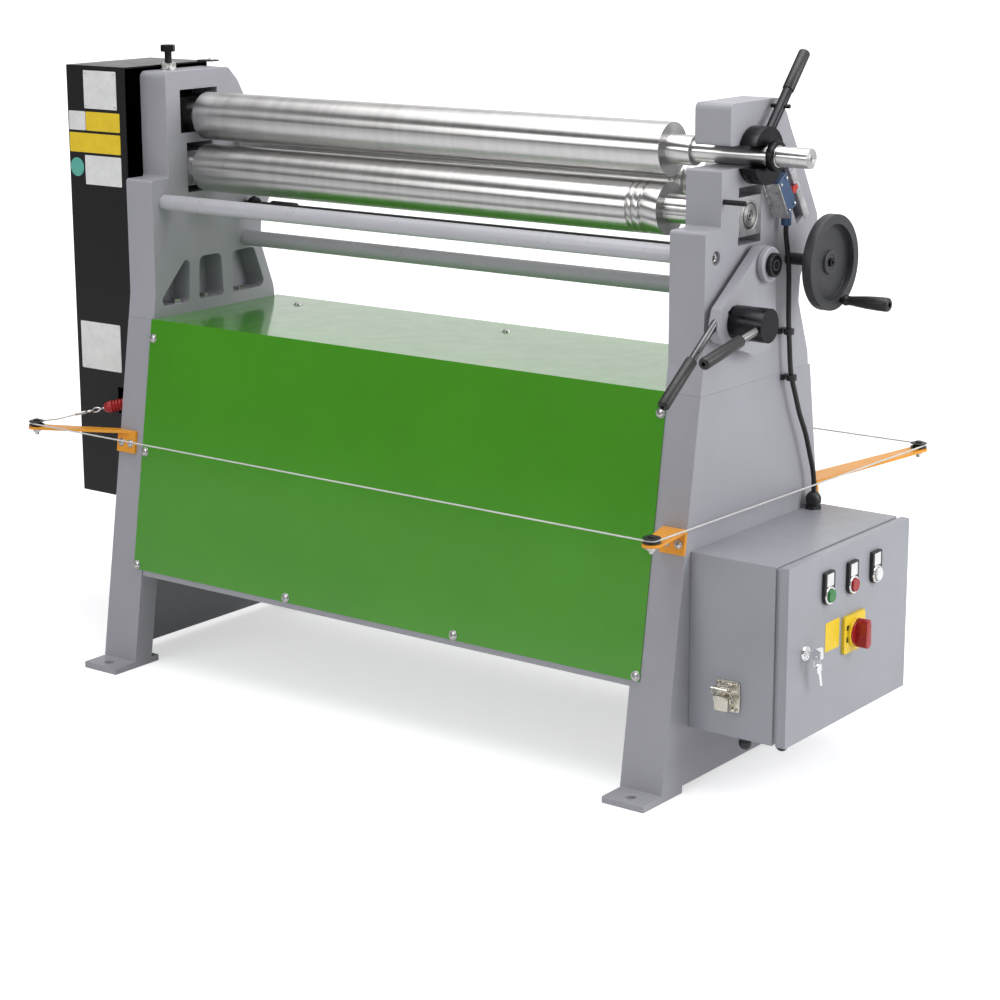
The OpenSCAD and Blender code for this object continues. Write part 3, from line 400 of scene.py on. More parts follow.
class Shape:
    """A mesh under construction, in millimetres: forms are added one after another, and done()
    makes the object and starts the next one."""

    def __init__(self):
        self.mesh = bmesh.new()

    def skin(self, rings, place=Matrix(), closed=True):
        """Surface over rings with equal numbers of points, given from the bottom up."""
        made = [[self.mesh.verts.new(place @ Vector(point)) for point in ring] for ring in rings]
        count = len(made[0])
        for low, high in zip(made, made[1:]):
            for i in range(count):
                j = (i + 1) % count
                self.mesh.faces.new((low[i], low[j], high[j], high[i]))
        if closed:
            self.mesh.faces.new(tuple(reversed(made[0])))
            self.mesh.faces.new(tuple(made[-1]))

    def lathe(self, profile, place=Matrix(), sides=48):
        """Turned form: profile lists (height, radius)."""
        self.skin([circle(r, z, sides) for z, r in profile], place)

    def tube(self, profile, place=Matrix(), sides=48):
        """Turned form with a bore: the profile closes on itself."""
        rings = [circle(r, z, sides) for z, r in [*profile, profile[0]]]
        self.skin(rings, place, closed=False)

    def prism(self, outline, low, high, place=Matrix(), edge=0.0, steps=2):
        """Outline raised from low to high, its edges rounded."""
        bottom = [self.mesh.verts.new(place @ Vector((x, y, low))) for x, y in outline]
        top = [self.mesh.verts.new(place @ Vector((x, y, high))) for x, y in outline]
        count = len(outline)
        faces = [self.mesh.faces.new(tuple(reversed(bottom))), self.mesh.faces.new(tuple(top))]
        for i in range(count):
            j = (i + 1) % count
            faces.append(self.mesh.faces.new((bottom[i], bottom[j], top[j], top[i])))
        if edge:
            edges = list({edge for face in faces for edge in face.edges})
            bmesh.ops.bevel(
                self.mesh, geom=edges, offset=edge, offset_type="OFFSET",
                segments=steps, profile=0.5, affect="EDGES", clamp_overlap=True
            )

    def box(self, low, high, place=Matrix(), edge=0.6):
        outline = [(low[0], low[1]), (high[0], low[1]), (high[0], high[1]), (low[0], high[1])]
        self.prism(outline, low[2], high[2], place, edge)

    def sweep(self, points, radius, sides=12):
        """Round section carried along points; radius is a number or a function of
        the point's number and the angle round it."""
        points = [Vector(point) for point in points]
        side = None
        rings = []
        for i, point in enumerate(points):
            ahead = points[min(i + 1, len(points) - 1)] - points[max(i - 1, 0)]
            ahead.normalize()
            if side is None:
                side = ahead.orthogonal()
            side = (side - ahead * side.dot(ahead)).normalized()
            other = ahead.cross(side)
            ring = []
            for a in turn_of(sides):
                r = radius(i, a) if callable(radius) else radius
                ring.append(point + r * (math.cos(a) * side + math.sin(a) * other))
            rings.append(ring)
        self.skin(rings)

    def done(self, name, slot, body, smooth=34):
        """Makes the object, in metres, with its material and body."""
        bmesh.ops.recalc_face_normals(self.mesh, faces=self.mesh.faces)
        mesh = bpy.data.meshes.new(name)
        self.mesh.to_mesh(mesh)
        self.mesh.free()
        self.mesh = bmesh.new()
        mesh.transform(Matrix.Scale(MM, 4))
        for face in mesh.polygons:
            face.use_smooth = True
        mesh.set_sharp_from_angle(angle=math.radians(smooth))
        mesh.materials.append(MATERIALS[slot])
        made = bpy.data.objects.new(name, mesh)
        bpy.context.scene.collection.objects.link(made)
        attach(made, body)
        return made


def turn_of(sides, ends=0):
    """Angles of one turn in equal steps; ends=1 adds the closing one."""
    return [2 * math.pi * k / sides for k in range(sides + ends)]


def circle(radius, height, sides=48):
    return [(radius * math.cos(a), radius * math.sin(a), height) for a in turn_of(sides)]


def hexagon(flats, height, sides=48, inset=None, drop=0.58):
    """Ring of a hexagon with the given width over flats; inset cuts its corners to a cone."""
    ring = []
    for a in turn_of(sides):
        reach = flats / 2 / math.cos((a + math.pi / 6) % (math.pi / 3) - math.pi / 6)
        z = height
        if inset is not None:
            z = height - max(0.0, reach - inset) * drop
        ring.append((reach * math.cos(a), reach * math.sin(a), z))
    return ring


def at(point, towards=Z, up=None):
    """Place with its own Z along a direction, and its own Y as near as can be to up."""
    towards = Vector(towards).normalized()
    up = Vector(up) if up else (Z if abs(towards.z) < 0.9 else Y)
    across = up.cross(towards).normalized()
    turn = Matrix((across, towards.cross(across), towards)).transposed()
    return Matrix.Translation(Vector(point)) @ turn.to_4x4()


def rounded(corners, steps=5):
    """Outline from (x, y, radius) corners."""
    points = []
    for i, (x, y, radius) in enumerate(corners):
        here = Vector((x, y))
        back = Vector(corners[i - 1][:2]) - here
        ahead = Vector(corners[(i + 1) % len(corners)][:2]) - here
        half = back.angle(ahead) / 2
        reach = radius / math.tan(half)
        centre = here + (back.normalized() + ahead.normalized()).normalized() * radius / math.sin(half)
        first = here + back.normalized() * reach - centre
        last = here + ahead.normalized() * reach - centre
        turn = math.atan2(first.x * last.y - first.y * last.x, first.dot(last))
        for k in range(steps + 1):
            a = math.atan2(first.y, first.x) + turn * k / steps
            points.append((centre.x + radius * math.cos(a), centre.y + radius * math.sin(a)))
    return points


def rounded_box(width, height, radius, steps=5, middle=(0, 0)):
    w, h = width / 2, height / 2
    x, y = middle
    return rounded([
        (x - w, y - h, radius), (x + w, y - h, radius), (x + w, y + h, radius), (x - w, y + h, radius)
    ], steps)


def curve(points, steps=8):
    """Smooth run of points through the given ones."""
    points = [Vector(point) for point in points]
    ends = [2 * points[0] - points[1], *points, 2 * points[-1] - points[-2]]
    run = []
    for a, b, c, d in zip(ends, ends[1:], ends[2:], ends[3:]):
        for k in range(steps):
            t = k / steps
            run.append(0.5 * (
                2 * b + (c - a) * t + (2 * a - 5 * b + 4 * c - d) * t ** 2
                + (3 * b - a - 3 * c + d) * t ** 3
            ))
    return [*run, points[-1]]


def resample(points, step):
    """Points at equal steps along a run."""
    points = [Vector(point) for point in points]
    made = [points[0]]
    left = step
    for a, b in zip(points, points[1:]):
        length = (b - a).length
        while left <= length:
            made.append(a.lerp(b, left / length))
            left += step
        left -= length
    if (made[-1] - points[-1]).length > step * 0.3:
        made.append(points[-1])
    return made


# ---- fasteners ----

def pan_screw(shape, place, head=6.2, washer=8.8, rise=3.4, turn=0.4):
    """Pan head screw with a cross recess on a washer."""
    thick = 1.4
    sides = 32
    if washer:
        rim = [(0, washer), (thick - 0.3, washer), (thick, washer - 0.3), (thick, head * 0.8)]
        shape.lathe(rim, place, sides)
    rings = [circle(head, thick * 0.5, sides), circle(head, thick + rise * 0.30, sides)]
    for share in (0.94, 0.84, 0.70, 0.56, 0.50, 0.36, 0.24, 0.12, 0.04):
        ring = []
        for a in turn_of(sides):
            r = head * share
            z = thick + rise * (0.30 + 0.70 * math.sqrt(1 - share ** 2))
            x = r * math.cos(a + turn)
            y = r * math.sin(a + turn)
            if min(abs(x), abs(y)) < head * 0.15 and share < 0.53:
                z -= rise * 0.55
            ring.append((r * math.cos(a), r * math.sin(a), z))
        rings.append(ring)
    shape.skin(rings, place)


def socket_screw(shape, place, head=8, rise=8, key=7):
    """Cylinder head screw with a hexagon socket."""
    sides = 48
    rings = [
        circle(head, 0, sides), circle(head, rise - 0.8, sides), circle(head - 0.8, rise, sides),
        circle(key * 0.64, rise, sides), hexagon(key, rise - 0.7, sides), hexagon(key, rise * 0.4, sides)
    ]
    shape.skin(rings, place)


def hex_head(shape, place, flats=19, rise=7.5, collar=True):
    """Hexagon head or nut, chamfered at its outer face."""
    sides = 48
    inset = flats / 2 * 0.96
    rings = [hexagon(flats, 0, sides), hexagon(flats, rise, sides, inset),
             circle(inset * 0.96, rise, sides)]
    if collar:
        shape.lathe([(-1.6, flats * 0.62), (-0.2, flats * 0.62), (0, flats * 0.60)], place, sides)
    shape.skin(rings, place)


def thread(shape, place, radius, length, pitch=1.5, depth=0.8):
    """Threaded end, as a run of ridges."""
    profile = []
    turns = int(length / pitch)
    for k in range(turns):
        profile.append((k * pitch, radius - depth))
        profile.append(((k + 0.5) * pitch, radius))
    profile.append((turns * pitch, radius - depth))
    shape.lathe(profile, place, 24)


# ---- sizes taken from the frame ----

def low_high(node):
    low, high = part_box(node)
    return Vector(low) / MM, Vector(high) / MM


def axis_of(node):
    """Y and Z of a turned node's axis along X."""
    low, high = low_high(node)
    return (low.y + high.y) / 2, (low.z + high.z) / 2


head_low, head_high = low_high("right_head")
HEAD_IN, HEAD_OUT = head_low.x, head_high.x
STAND_TOP = head_low.z
STAND_HALF = -head_low.y
cover_low_corner, cover_high_corner = low_high("front_cover")
SHEET = cover_high_corner.z - STAND_TOP
COVER_LOW = cover_low_corner.z
SLOPE = (-cover_low_corner.y - SHEET - STAND_HALF) / (STAND_TOP - COVER_LOW)
SLOPE_UP = Vector((0, SLOPE, 1)).normalized()
FRONT_OUT = Vector((0, -1, SLOPE)).normalized()
TOP_AXIS = axis_of("top_roll")
LOWER_AXIS = axis_of("lower_roll")
REAR_AXIS = axis_of("rear_roll")
box_low_corner, box_high_corner = low_high("control_box")
DOOR = low_high("control_door")[1].x
PIVOT = (LOWER_AXIS[0] + 6, LOWER_AXIS[1] - 78)
STUD = (LOWER_AXIS[0] - 82, LOWER_AXIS[1] - 161)
WHEEL_AXIS = (LOWER_AXIS[0] + 125, LOWER_AXIS[1] - 85)


def face_y(z):
    """Distance of the stands' sloped faces from the machine's middle."""
    return STAND_HALF + SLOPE * (STAND_TOP - z)


def on_front(x, z, out=0.0):
    """Place on the front cover's sloped face, its own Z outward."""
    point = Vector((x, -face_y(z), z)) + FRONT_OUT * (SHEET + out)
    return at(point, FRONT_OUT, SLOPE_UP)


def on_rear(x, z, out=0.0):
    place = on_front(x, z, out)
    return Matrix.Scale(-1, 4, Y) @ place


# ---- covers ----

def cover_screws():
    side_x = HEAD_OUT - 71
    shape = Shape()
    places = [(s * side_x, z) for s in (-1, 1) for z in (630, 415)]
    places += [(x, COVER_LOW + 8) for x in (-side_x, -side_x + 380, side_x - 380, side_x)]
    for x, z in places:
        pan_screw(shape, on_front(x, z), turn=0.3 + x * 0.01)
        pan_screw(shape, on_rear(x, z), turn=0.9 + x * 0.02)
    for x in (-465, 45, 465):
        pan_screw(shape, at((x, cover_high_corner.y - 8, cover_high_corner.z), Z), turn=x * 0.02)
    shape.done("cover_screws", "zinc", "frame")


cover_screws()


# ---- height bolt ----

def height_bolt():
    """Black hexagon bolt with a galvanised lock nut on the left head."""
    low, high = low_high("height_bolt")
    foot = Vector(((low.x + high.x) / 2, (low.y + high.y) / 2, low.z))
    rise = high.z - low.z
    head_rise = 13
    shape = Shape()
    thread(shape, at(foot), 7.0, rise - head_rise + 1, pitch=2.0)
    shape.lathe([(0, 6.6), (rise - head_rise - 6, 6.6), (rise - head_rise, 6.9)], at(foot), 32)
    hex_head(shape, at(foot + Z * (rise - head_rise), Z, X), 25, head_rise, collar=False)
    bolt = shape.done("height_bolt_black", "black_steel", "frame")
    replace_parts(bolt, "height_bolt")
    hex_head(shape, at(foot + Z * 1.8, Z, (1, 0.4, 0)), 26, 11.5)
    shape.done("height_bolt_nut", "zinc", "frame")


height_bolt()


# ---- drive cover ----

def drive_cover_details():
    low, high = low_high("gear_cover")
    face = low.y
    shape = Shape()
    plate = at((low.x, face, 0), -Y, Z)

    def rect(x0, x1, z0, z1, thick, radius=2.0):
        outline = rounded_box(x1 - x0, z1 - z0, radius, 3, ((x0 + x1) / 2, (z0 + z1) / 2))
        shape.prism(outline, 0, thick, plate, 0.2, 1)

    top = high.z
    rect(46, 133, top - 81, top - 9, 0.8)
    rect(42, 139, top - 226, top - 170, 0.5)
    rect(2.5, 47, top - 123, top - 87, 0.5)
    rect(11, 119, top - 587, top - 494, 0.5)
    shape.done("plain_plates_white", "white_plastic", "frame")
    rect(48, 139, top - 123, top - 87, 0.5)
    rect(2.5, 139, top - 165, top - 128, 0.5)
    shape.done("plain_plates_yellow", "yellow_plate", "frame")
    shape.lathe([(0, 18), (0.5, 18), (0.6, 17.6)], plate @ Matrix.Translation((20, top - 194, 0)), 40)
    shape.done("plain_disc_green", "mint_plate", "frame")
    for x in (51, 128):
        for z in (top - 76, top - 14):
            shape.lathe([(0.6, 2.2), (1.4, 1.8), (1.7, 0.8)], plate @ Matrix.Translation((x, z, 0)), 16)
    shape.done("plate_rivets", "zinc", "frame")
    shape.prism(rounded([(0, -14, 3), (38, -14, 3), (38, 14, 8), (0, 14, 3)]), 0, 2.5,
                at((high.x - 6, high.y - 9, top), Z, Y), 0.4, 1)
    shape.done("cover_tab", "black_paint", "frame")
    pan_screw(shape, at((high.x + 20, high.y - 9, top + 2.5), Z), 5.0, 7.0, 3.0)
    for z in (top - 40, top - 330, low.z + 40):
        pan_screw(shape, at((low.x, high.y - 30, z), -X), 5.0, 7.5, 3.0)
        pan_screw(shape, at((low.x, low.y + 30, z), -X), 5.0, 7.5, 3.0)
        pan_screw(shape, at((low.x + 74, high.y, z), Y), 5.0, 7.5, 3.0)
    shape.done("drive_cover_screws", "zinc", "frame")


drive_cover_details()


# ---- heads ----

def head_fasteners():
    """Foot bolts in the window pockets and the tie bar screws in their counterbores."""
    shape = Shape()
    for s in (-1, 1):
        for y in (-96, 84):
            place = at((s * (HEAD_IN + 17), y, STAND_TOP + 22), Z, X)
            hex_head(shape, place, 19, 8)
        hex_head(shape, at((s * (HEAD_IN + 20), -14, STAND_TOP + 22), Z, X), 17, 8)
    shape.done("foot_bolts", "zinc", "frame")
    tie = (HEAD_OUT - 13.5, *axis_of("front_tie_bar"))
    socket_screw(shape, at(tie, X, Z), 8.5, 9.5, 8)
    shape.done("tie_screw", "zinc", "frame")
    pin = (HEAD_OUT - 4, LOWER_AXIS[0] - 80, LOWER_AXIS[1] + 30)
    shape.lathe([(0, 4.3), (43, 4.3), (44, 3.6)], at(pin, X, Z), 24)
    shape.done("stop_pin", "black_steel", "frame")


head_fasteners()


def bearing_faces():
    """Rings on the end of the lower roll's journal, and a black disc that paints the shade in its centre
    hole.
    """
    y, z = LOWER_AXIS
    shape = Shape()
    end = at((low_high("lower_roll")[1].x - 0.2, y, z), X, Z)
    shape.tube([(0.0, 21), (0.5, 21), (0.5, 19.5), (0.0, 19.5)], end)
    shape.tube([(0.0, 8.2), (0.6, 8.2), (0.6, 7.2), (0.0, 7.2)], end, 32)
    shape.done("journal_rings", "black_steel", "lower_roll")
    # Painted shade: a thin black disc stands in for the shade inside the journal's centre hole.
    shape.lathe([(0.0, 3.4), (0.25, 3.4)], end, 24)
    shape.done("journal_hole_painted_shade", "black_plastic", "lower_roll")


bearing_faces()


def pivot_cap():
    y, z = PIVOT
    face = low_high("arm_boss")[1].x + 8.5
    shape = Shape()
    place = at((face - 0.4, y, z), X, Z)
    shape.tube([(0.0, 8.5), (0.7, 8.5), (0.7, 7.7), (0.0, 7.7)], place, 32)
    shape.tube([(0.0, 17.5), (0.5, 17.5), (0.5, 16.9), (0.0, 16.9)], place, 40)
    shape.done("pivot_cap_rings", "block_steel", "frame")
    # Painted shade: a thin black disc stands in for the shade inside the pivot cap's centre hole.
    shape.lathe([(0.0, 2.4), (0.6, 2.4)], place, 20)
    shape.done("pivot_hole_painted_shade", "black_plastic", "frame")


pivot_cap()


# ---- levers and grips ----

def grip(shape, start, end, radius, bore=3.4):
    """Sleeve grip with rounded ends and a hole in its outer end."""
    start, end = Vector(start), Vector(end)
    length = (end - start).length
    place = at(start, end - start)
    shape.lathe([
        (0, radius - 1.6), (0.6, radius - 0.5), (2.0, radius), (length - 3.5, radius),
        (length - 1.2, radius - 1.0), (length, radius - 2.6), (length, bore + 0.4),
        (length - 0.6, bore), (length - 9, bore)
    ], place, 40)


def lever(name, x, start, end, bare, rod, radius, body, node, rod_slot):
    """Rod from start, with a sleeve grip over its end, in the plane of a constant X."""
    start = Vector((x, *start))
    end = Vector((x, *end))
    along = (end - start).normalized()
    shape = Shape()
    shape.lathe([(0, rod), (bare + 6, rod), (bare + 8, rod - 1)], at(start, along), 32)
    shape.done(name + "_rod", rod_slot, body)
    grip(shape, start + along * bare, end, radius)
    sleeve = shape.done(name + "_sleeve", "black_grip", body)
    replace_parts(sleeve, node)


def levers():
    arm_x, knob_x, ring_x = (
        low_high(node)[0].x for node in ("pinch_arm", "clamp_knob", "latch_ring")
    )
    lever("pinch_lever", arm_x + 9.5, (PIVOT[0] - 131, PIVOT[1] - 75),
          (PIVOT[0] - 287, PIVOT[1] - 190), 91, 6.5, 10, "pinch_arm", "pinch_grip", "gun_steel")
    lever("clamp_lever", knob_x + 52, (STUD[0] - 13.7, STUD[1] - 2.7),
          (STUD[0] - 181, STUD[1] - 35), 60, 6.5, 10, "clamp_knob", "clamp_grip", "tool_steel")
    root = Vector((TOP_AXIS[0] + 18, TOP_AXIS[1] + 36))
    tip = Vector((TOP_AXIS[0] + 127, TOP_AXIS[1] + 158))
    start = tip + (root - tip).normalized() * 79
    x = ring_x + 18
    shape = Shape()
    grip(shape, (x, *start), (x, *tip), 10)
    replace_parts(shape.done("latch_sleeve", "black_grip", "latch"), "latch_grip")


levers()


def crank_handle():
    """Turning handle with a slim neck and a swelling body."""
    low, high = low_high("crank_grip")
    length = high.x - low.x
    shape = Shape()
    shape.lathe([
        (0, 4.9), (21, 4.9), (21.2, 8.0), (23, 9.0), (27, 9.0), (29, 8.0), (34, 7.8),
        (44, 8.8), (62, 10.6), (82, 11.7), (length - 6, 12.0), (length - 2.5, 11.4),
        (length - 0.6, 9.6), (length, 8.0), (length, 4.6), (length - 7, 4.4)
    ], at((low.x, *axis_of("crank_grip")), X, Z), 40)
    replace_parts(shape.done("crank_handle", "black_plastic", "crank_grip"), "crank_grip")


crank_handle()


def wheel_details():
    """Hub ring and shaft screw on the handwheel's web."""
    web_depth = 12
    web = low_high("handwheel")[1].x - web_depth
    place = at((web, *WHEEL_AXIS), X, Z)
    shape = Shape()
    shape.lathe([(2.0, 20), (4.2, 19.2), (4.6, 18.4), (4.6, 13.5), (3.4, 12.5)], place, 48)
    shape.tube([(0.0, 60), (0.7, 60), (0.7, 58.5), (0.0, 58.5)], place, 64)
    shape.done("wheel_hub", "wheel_plastic", "handwheel")
    socket_screw(shape, at((web + 3.2, *WHEEL_AXIS), X, Z), 7, 4.5, 5)
    shape.done("wheel_screw", "black_steel", "handwheel")


wheel_details()


# ---- control box ----

def legends():
    """Black legend holders with blank white inserts, and chromed bezels."""
    black, white, chrome = Shape(), Shape(), Shape()
    for node in ("green_button", "red_button", "white_button"):
        place = at((DOOR, *axis_of(node)), X, Z)
        outline = rounded([(-16, -16, 15), (16, -16, 15), (16, 40, 3), (-16, 40, 3)])
        black.prism(outline, 0, 6.4, place, 1.2)
        white.prism(rounded_box(21, 21, 1.0, 2, (0, 26)), 6.2, 7.0, place, 0.2, 1)
        chrome.tube([
            (5.5, 15.4), (7.2, 15.4), (8.4, 14.6), (8.8, 13.4), (8.4, 11.9), (6.4, 11.6)
        ], place, 48)
    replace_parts(black.done("legend_holders", "black_plastic", "control_door"), "door_plates")
    white.done("legend_inserts", "white_plastic", "control_door")
    chrome.done("button_bezels", "chrome", "control_door")


def main_switch():
    y, z = axis_of("main_switch")
    place = at((DOOR, y, z), X, Z)
    shape = Shape()
    shape.prism(rounded_box(70, 64, 5, 5), 0, 5.5, place, 1.2)
    shape.lathe([(5, 25), (9.5, 24.6), (10.5, 23.6), (10.5, 22)], place, 48)
    shape.done("switch_plate", "yellow_plate", "control_door")
    for x, up in ((-24, 12), (-24, -8)):
        shape.prism(rounded_box(8, 9, 1, 2, (x, up)), 5.4, 5.9, place, 0.1, 1)
    shape.done("switch_marks", "black_plastic", "control_door")
    shape.lathe([(6, 21.4), (12, 21.4), (13.2, 20.4)], place, 48)
    blade = rounded([(-9, -24, 6), (9, -24, 6), (7, 25, 6), (-7, 25, 6)])
    shape.prism(blade, 12, 32, place, 3.0, 3)
    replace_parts(shape.done("switch_handle", "red_plastic", "main_switch"), "main_switch")
    low_edge = at((DOOR, y - 67, z + 10), X, Z)
    shape.prism(rounded_box(46, 50, 1.5, 3), 0, 0.5, low_edge, 0.15, 1)
    shape.done("blank_yellow_plate", "yellow_plate", "control_door")


def lock_and_keys():
    """Chromed quarter turn lock with a key in it, a second key and a blank tag on a ring."""
    low, high = low_high("door_lock")
    y, z = (low.y + high.y) / 2, high.z - 13
    place = at((DOOR, y, z), X, Z)
    shape = Shape()
    shape.lathe([
        (0, 13), (2.4, 13), (4.4, 11.8), (5.0, 10.6), (5.0, 8.2), (3.8, 7.8), (3.8, 5.6), (5.2, 5.2)
    ], place, 48)
    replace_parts(shape.done("lock", "chrome", "control_door"), "door_lock")
    shape.prism(rounded_box(2.2, 8, 0.6, 2), 5.0, 14, place, 0.3, 1)
    bow = place @ Matrix.Translation((0, 0, 14)) @ Matrix.Rotation(math.pi / 2, 4, "Y")
    shape.prism(rounded_box(16, 19, 5, 4, (-8, 0)), -1.1, 1.1, bow, 0.4, 1)
    ring_y = y + 8
    ring = [
        (DOOR + 21 + 1.5 * math.sin(a), ring_y - 5 + 9 * math.cos(a), z - 10 + 10 * math.sin(a))
        for a in turn_of(32)
    ]
    shape.sweep([*ring, ring[0]], 0.7, 8)
    hang = at((DOOR + 20, y + 13, z - 26), X, (0, 0.25, -1))
    shape.prism(rounded_box(15, 17, 6, 4), -1.0, 1.0, hang, 0.4, 1)
    blade = rounded([(-3.4, 8, 0.5), (3.4, 8, 0.5), (3.4, 30, 2), (-3.4, 34, 2)], 3)
    shape.prism(blade, -0.9, 0.9, hang, 0.3, 1)
    shape.done("keys", "chrome", "control_door")
    tag = at((DOOR + 19, y + 15, z - 2), (1, -0.25, 0.1), Z)
    shape.prism(rounded_box(17, 20, 3, 4), -0.8, 0.8, tag, 0.3, 1)
    shape.done("key_tag", "white_plastic", "control_door")


legends()
main_switch()
lock_and_keys()


def connector():
    """Plug connector on the box's front wall: flange, hood and locking lever."""
    face = box_low_corner.y
    x = HEAD_OUT + 77
    z = box_low_corner.z + 70
    place = at((x, face, z), -Y, Z)
    shape = Shape()
    shape.prism(rounded_box(46, 52, 4, 3), 0, 3.2, place, 0.6)
    hood = [(-13, 0, 2), (13, 0, 2), (13, 24, 5), (-13, 24, 5)]
    shape.prism(rounded([(x0, y0 - 20, r) for x0, y0, r in hood]), 3, 24, place, 1.2)
    shape.prism(rounded_box(22, 12, 3, 3, (0, 16)), 3, 17, place, 1.0)
    for s in (-1, 1):
        shape.prism(rounded_box(3.5, 9, 1, 2, (s * 15, -2)), 3, 21, place, 0.5, 1)
        pan_screw(shape, place @ Matrix.Translation((s * 17, 21, 3)), 3.0, 0, 2.0)
        pan_screw(shape, place @ Matrix.Translation((s * 17, -21, 3)), 3.0, 0, 2.0)
    shape.done("connector", "nickel", "frame")
    for s in (-1, 1):
        arm = [place @ Vector(p) for p in (
            (s * 17.5, -2, 14), (s * 18, 6, 20), (s * 17.5, 14, 26), (s * 15, 18, 29)
        )]
        shape.sweep(curve(arm, 6), 1.9, 8)
    bar = [place @ Vector((x1, 19, 29)) for x1 in (-15, -5, 5, 15)]
    shape.sweep(bar, 2.4, 8)
    shape.done("connector_lever", "nickel", "frame")


def gland(shape, place, flats, rise, bore):
    """Cable gland: hexagon, dome nut and sealing lip."""
    hex_head(shape, place, flats, rise * 0.22, collar=False)
    shape.lathe([
        (rise * 0.20, flats * 0.44), (rise * 0.34, flats * 0.44), (rise * 0.36, flats * 0.50),
        (rise * 0.66, flats * 0.50), (rise * 0.84, flats * 0.40), (rise * 0.97, flats * 0.27),
        (rise, bore)
    ], place, 32)


def glands():
    shape = Shape()
    top = box_high_corner.z
    gland(shape, at((BOX_GLAND[0], BOX_GLAND[1], top), Z, X), 27, 30, 5.2)
    for x, y in ((100, -181), (152, -152), (60, 60)):
        gland(shape, at((HEAD_OUT + x, y, box_low_corner.z), -Z, X), 21, 22, 4)
    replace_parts(shape.done("box_glands", "black_plastic", "frame"), "cable_glands")


# ---- limit switch and its cable ----

CABLE_X = HEAD_OUT + 16
GLAND = (REAR_AXIS[0] - 43, REAR_AXIS[1] - 54)
BOX_GLAND = (HEAD_OUT + 18, 168, box_high_corner.z + 30)
# Share of the cable's height and of its way back, as in the part's source.
CABLE_RUN = [
    (0, 0), (0.03, 0), (0.08, 0.05), (0.14, 0.10), (0.20, 0.12), (0.27, 0.13),
    (0.33, 0.14), (0.38, 0.16), (0.44, 0.19), (0.50, 0.22), (0.55, 0.27), (0.61, 0.37),
    (0.69, 0.52), (0.77, 0.70), (0.86, 0.86), (0.92, 0.96), (0.97, 1), (1, 1)
]
CABLE_ROUTE = [
    (CABLE_X if down < 0.6 else BOX_GLAND[0] - (1 if down < 0.7 else 0),
     GLAND[0] + back * (BOX_GLAND[1] - GLAND[0]), GLAND[1] + down * (BOX_GLAND[2] - GLAND[1]))
    for down, back in CABLE_RUN
]

connector()
glands()


def switch_cable():
    """Corrugated conduit: a rib every few millimetres along the route."""
    outer, rib_depth, rib_steps = 4.5, 0.45, 4

    def rib(i, _):
        return outer - rib_depth * (1 - math.cos(2 * math.pi * i / rib_steps)) / 2

    shape = Shape()
    shape.sweep(resample(curve(CABLE_ROUTE, 10), 1.1), rib, 16)
    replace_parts(shape.done("ribbed_cable", "black_rubber", "frame", smooth=80), "switch_cable")
    for i in (7, 10):
        x, y, z = CABLE_ROUTE[i]
        shape.box((HEAD_OUT + 0.2, y - 11, z - 5), (HEAD_OUT + 5, y + 11, z + 5), edge=1.0)
        shape.tube([(-5, 8.2), (-4.4, 8.8), (4.4, 8.8), (5, 8.2), (5, 4.8), (-5, 4.8)],
                   at((x, y, z), Z, X), 32)
    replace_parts(shape.done("cable_saddles", "black_plastic", "frame"), "cable_clips")


switch_cable()

# Slope of the rear roll's travel, in degrees from the level.
REAR_SLOPE = 58
SLOPE_ANGLE = math.radians(180 - REAR_SLOPE)
ALONG = Vector((0, math.cos(SLOPE_ANGLE), math.sin(SLOPE_ANGLE)))
ACROSS = Vector((0, -math.sin(SLOPE_ANGLE), math.cos(SLOPE_ANGLE)))


def on_slope(along, across, x):
    """Point at a place along and across the rear roll's slope."""
    return Vector((x, *REAR_AXIS)) + ALONG * along + ACROSS * across


def limit_switch():
    """Screws of the switch's lid and of its bracket."""
    out = HEAD_OUT + 30
    shape = Shape()
    for along, across in ((9, 45), (61, 45), (9, 64), (61, 64)):
        pan_screw(shape, at(on_slope(along, across, out), X, ALONG), 2.6, 0, 1.6)
    for along in (16, 52):
        pan_screw(shape, at(on_slope(along, 27, HEAD_OUT + 3), X, ALONG), 4.2, 6, 2.6)
    shape.done("switch_screws", "zinc", "frame")


limit_switch()


def travel_scale():
    """Graduation lines on the scale beside the pointer's slot."""
    face = low_high("travel_scale")[1].x
    shape = Shape()
    first, step, lines = -68, 5, 19
    for k in range(lines):
        along = first + step * k
        long = 9 if k % 5 == 0 else 5.5
        place = at(on_slope(along, -10.6 - long / 2, face), X, ALONG)
        shape.box((-long / 2, -0.35, -0.1), (long / 2, 0.35, 0.12), place, edge=0)
    shape.done("scale_lines", "black_plastic", "frame")


travel_scale()


# ---- rope guard ----

ROPE_D = 3.0
ROPE_Z = low_high("rope_pulleys")[1].z - 10
SWITCH_ROOT = Vector((-HEAD_OUT - 19, low_high("gear_cover")[0].y - 10, ROPE_Z + 34))
PULLEY_LEFT = (-HEAD_OUT - 148, -288)
PULLEY_RIGHT = (HEAD_OUT, -314)
PULLEY_BACK = (HEAD_OUT + 26, 540)
POST_BACK_LEFT = (-HEAD_OUT - 148, 540)
PULLEY_D = 30.0
GROOVE_R = PULLEY_D / 2 - 5
ROPE_R = GROOVE_R + ROPE_D / 2 + 0.2
STRAP_TOP = ROPE_Z - 6
# The rope's way from the pull switch to the left pulley, and its end on the left rear post.
ROPE_PULL = Vector((PULLEY_LEFT[0], PULLEY_LEFT[1] + ROPE_R, ROPE_Z)) - SWITCH_ROOT
NOSE_SHARE, START_SHARE = 0.25, 0.5
POST_R = 5.2
ROPE_END = Vector((POST_BACK_LEFT[0] + POST_R, POST_BACK_LEFT[1] + ROPE_R, ROPE_Z))


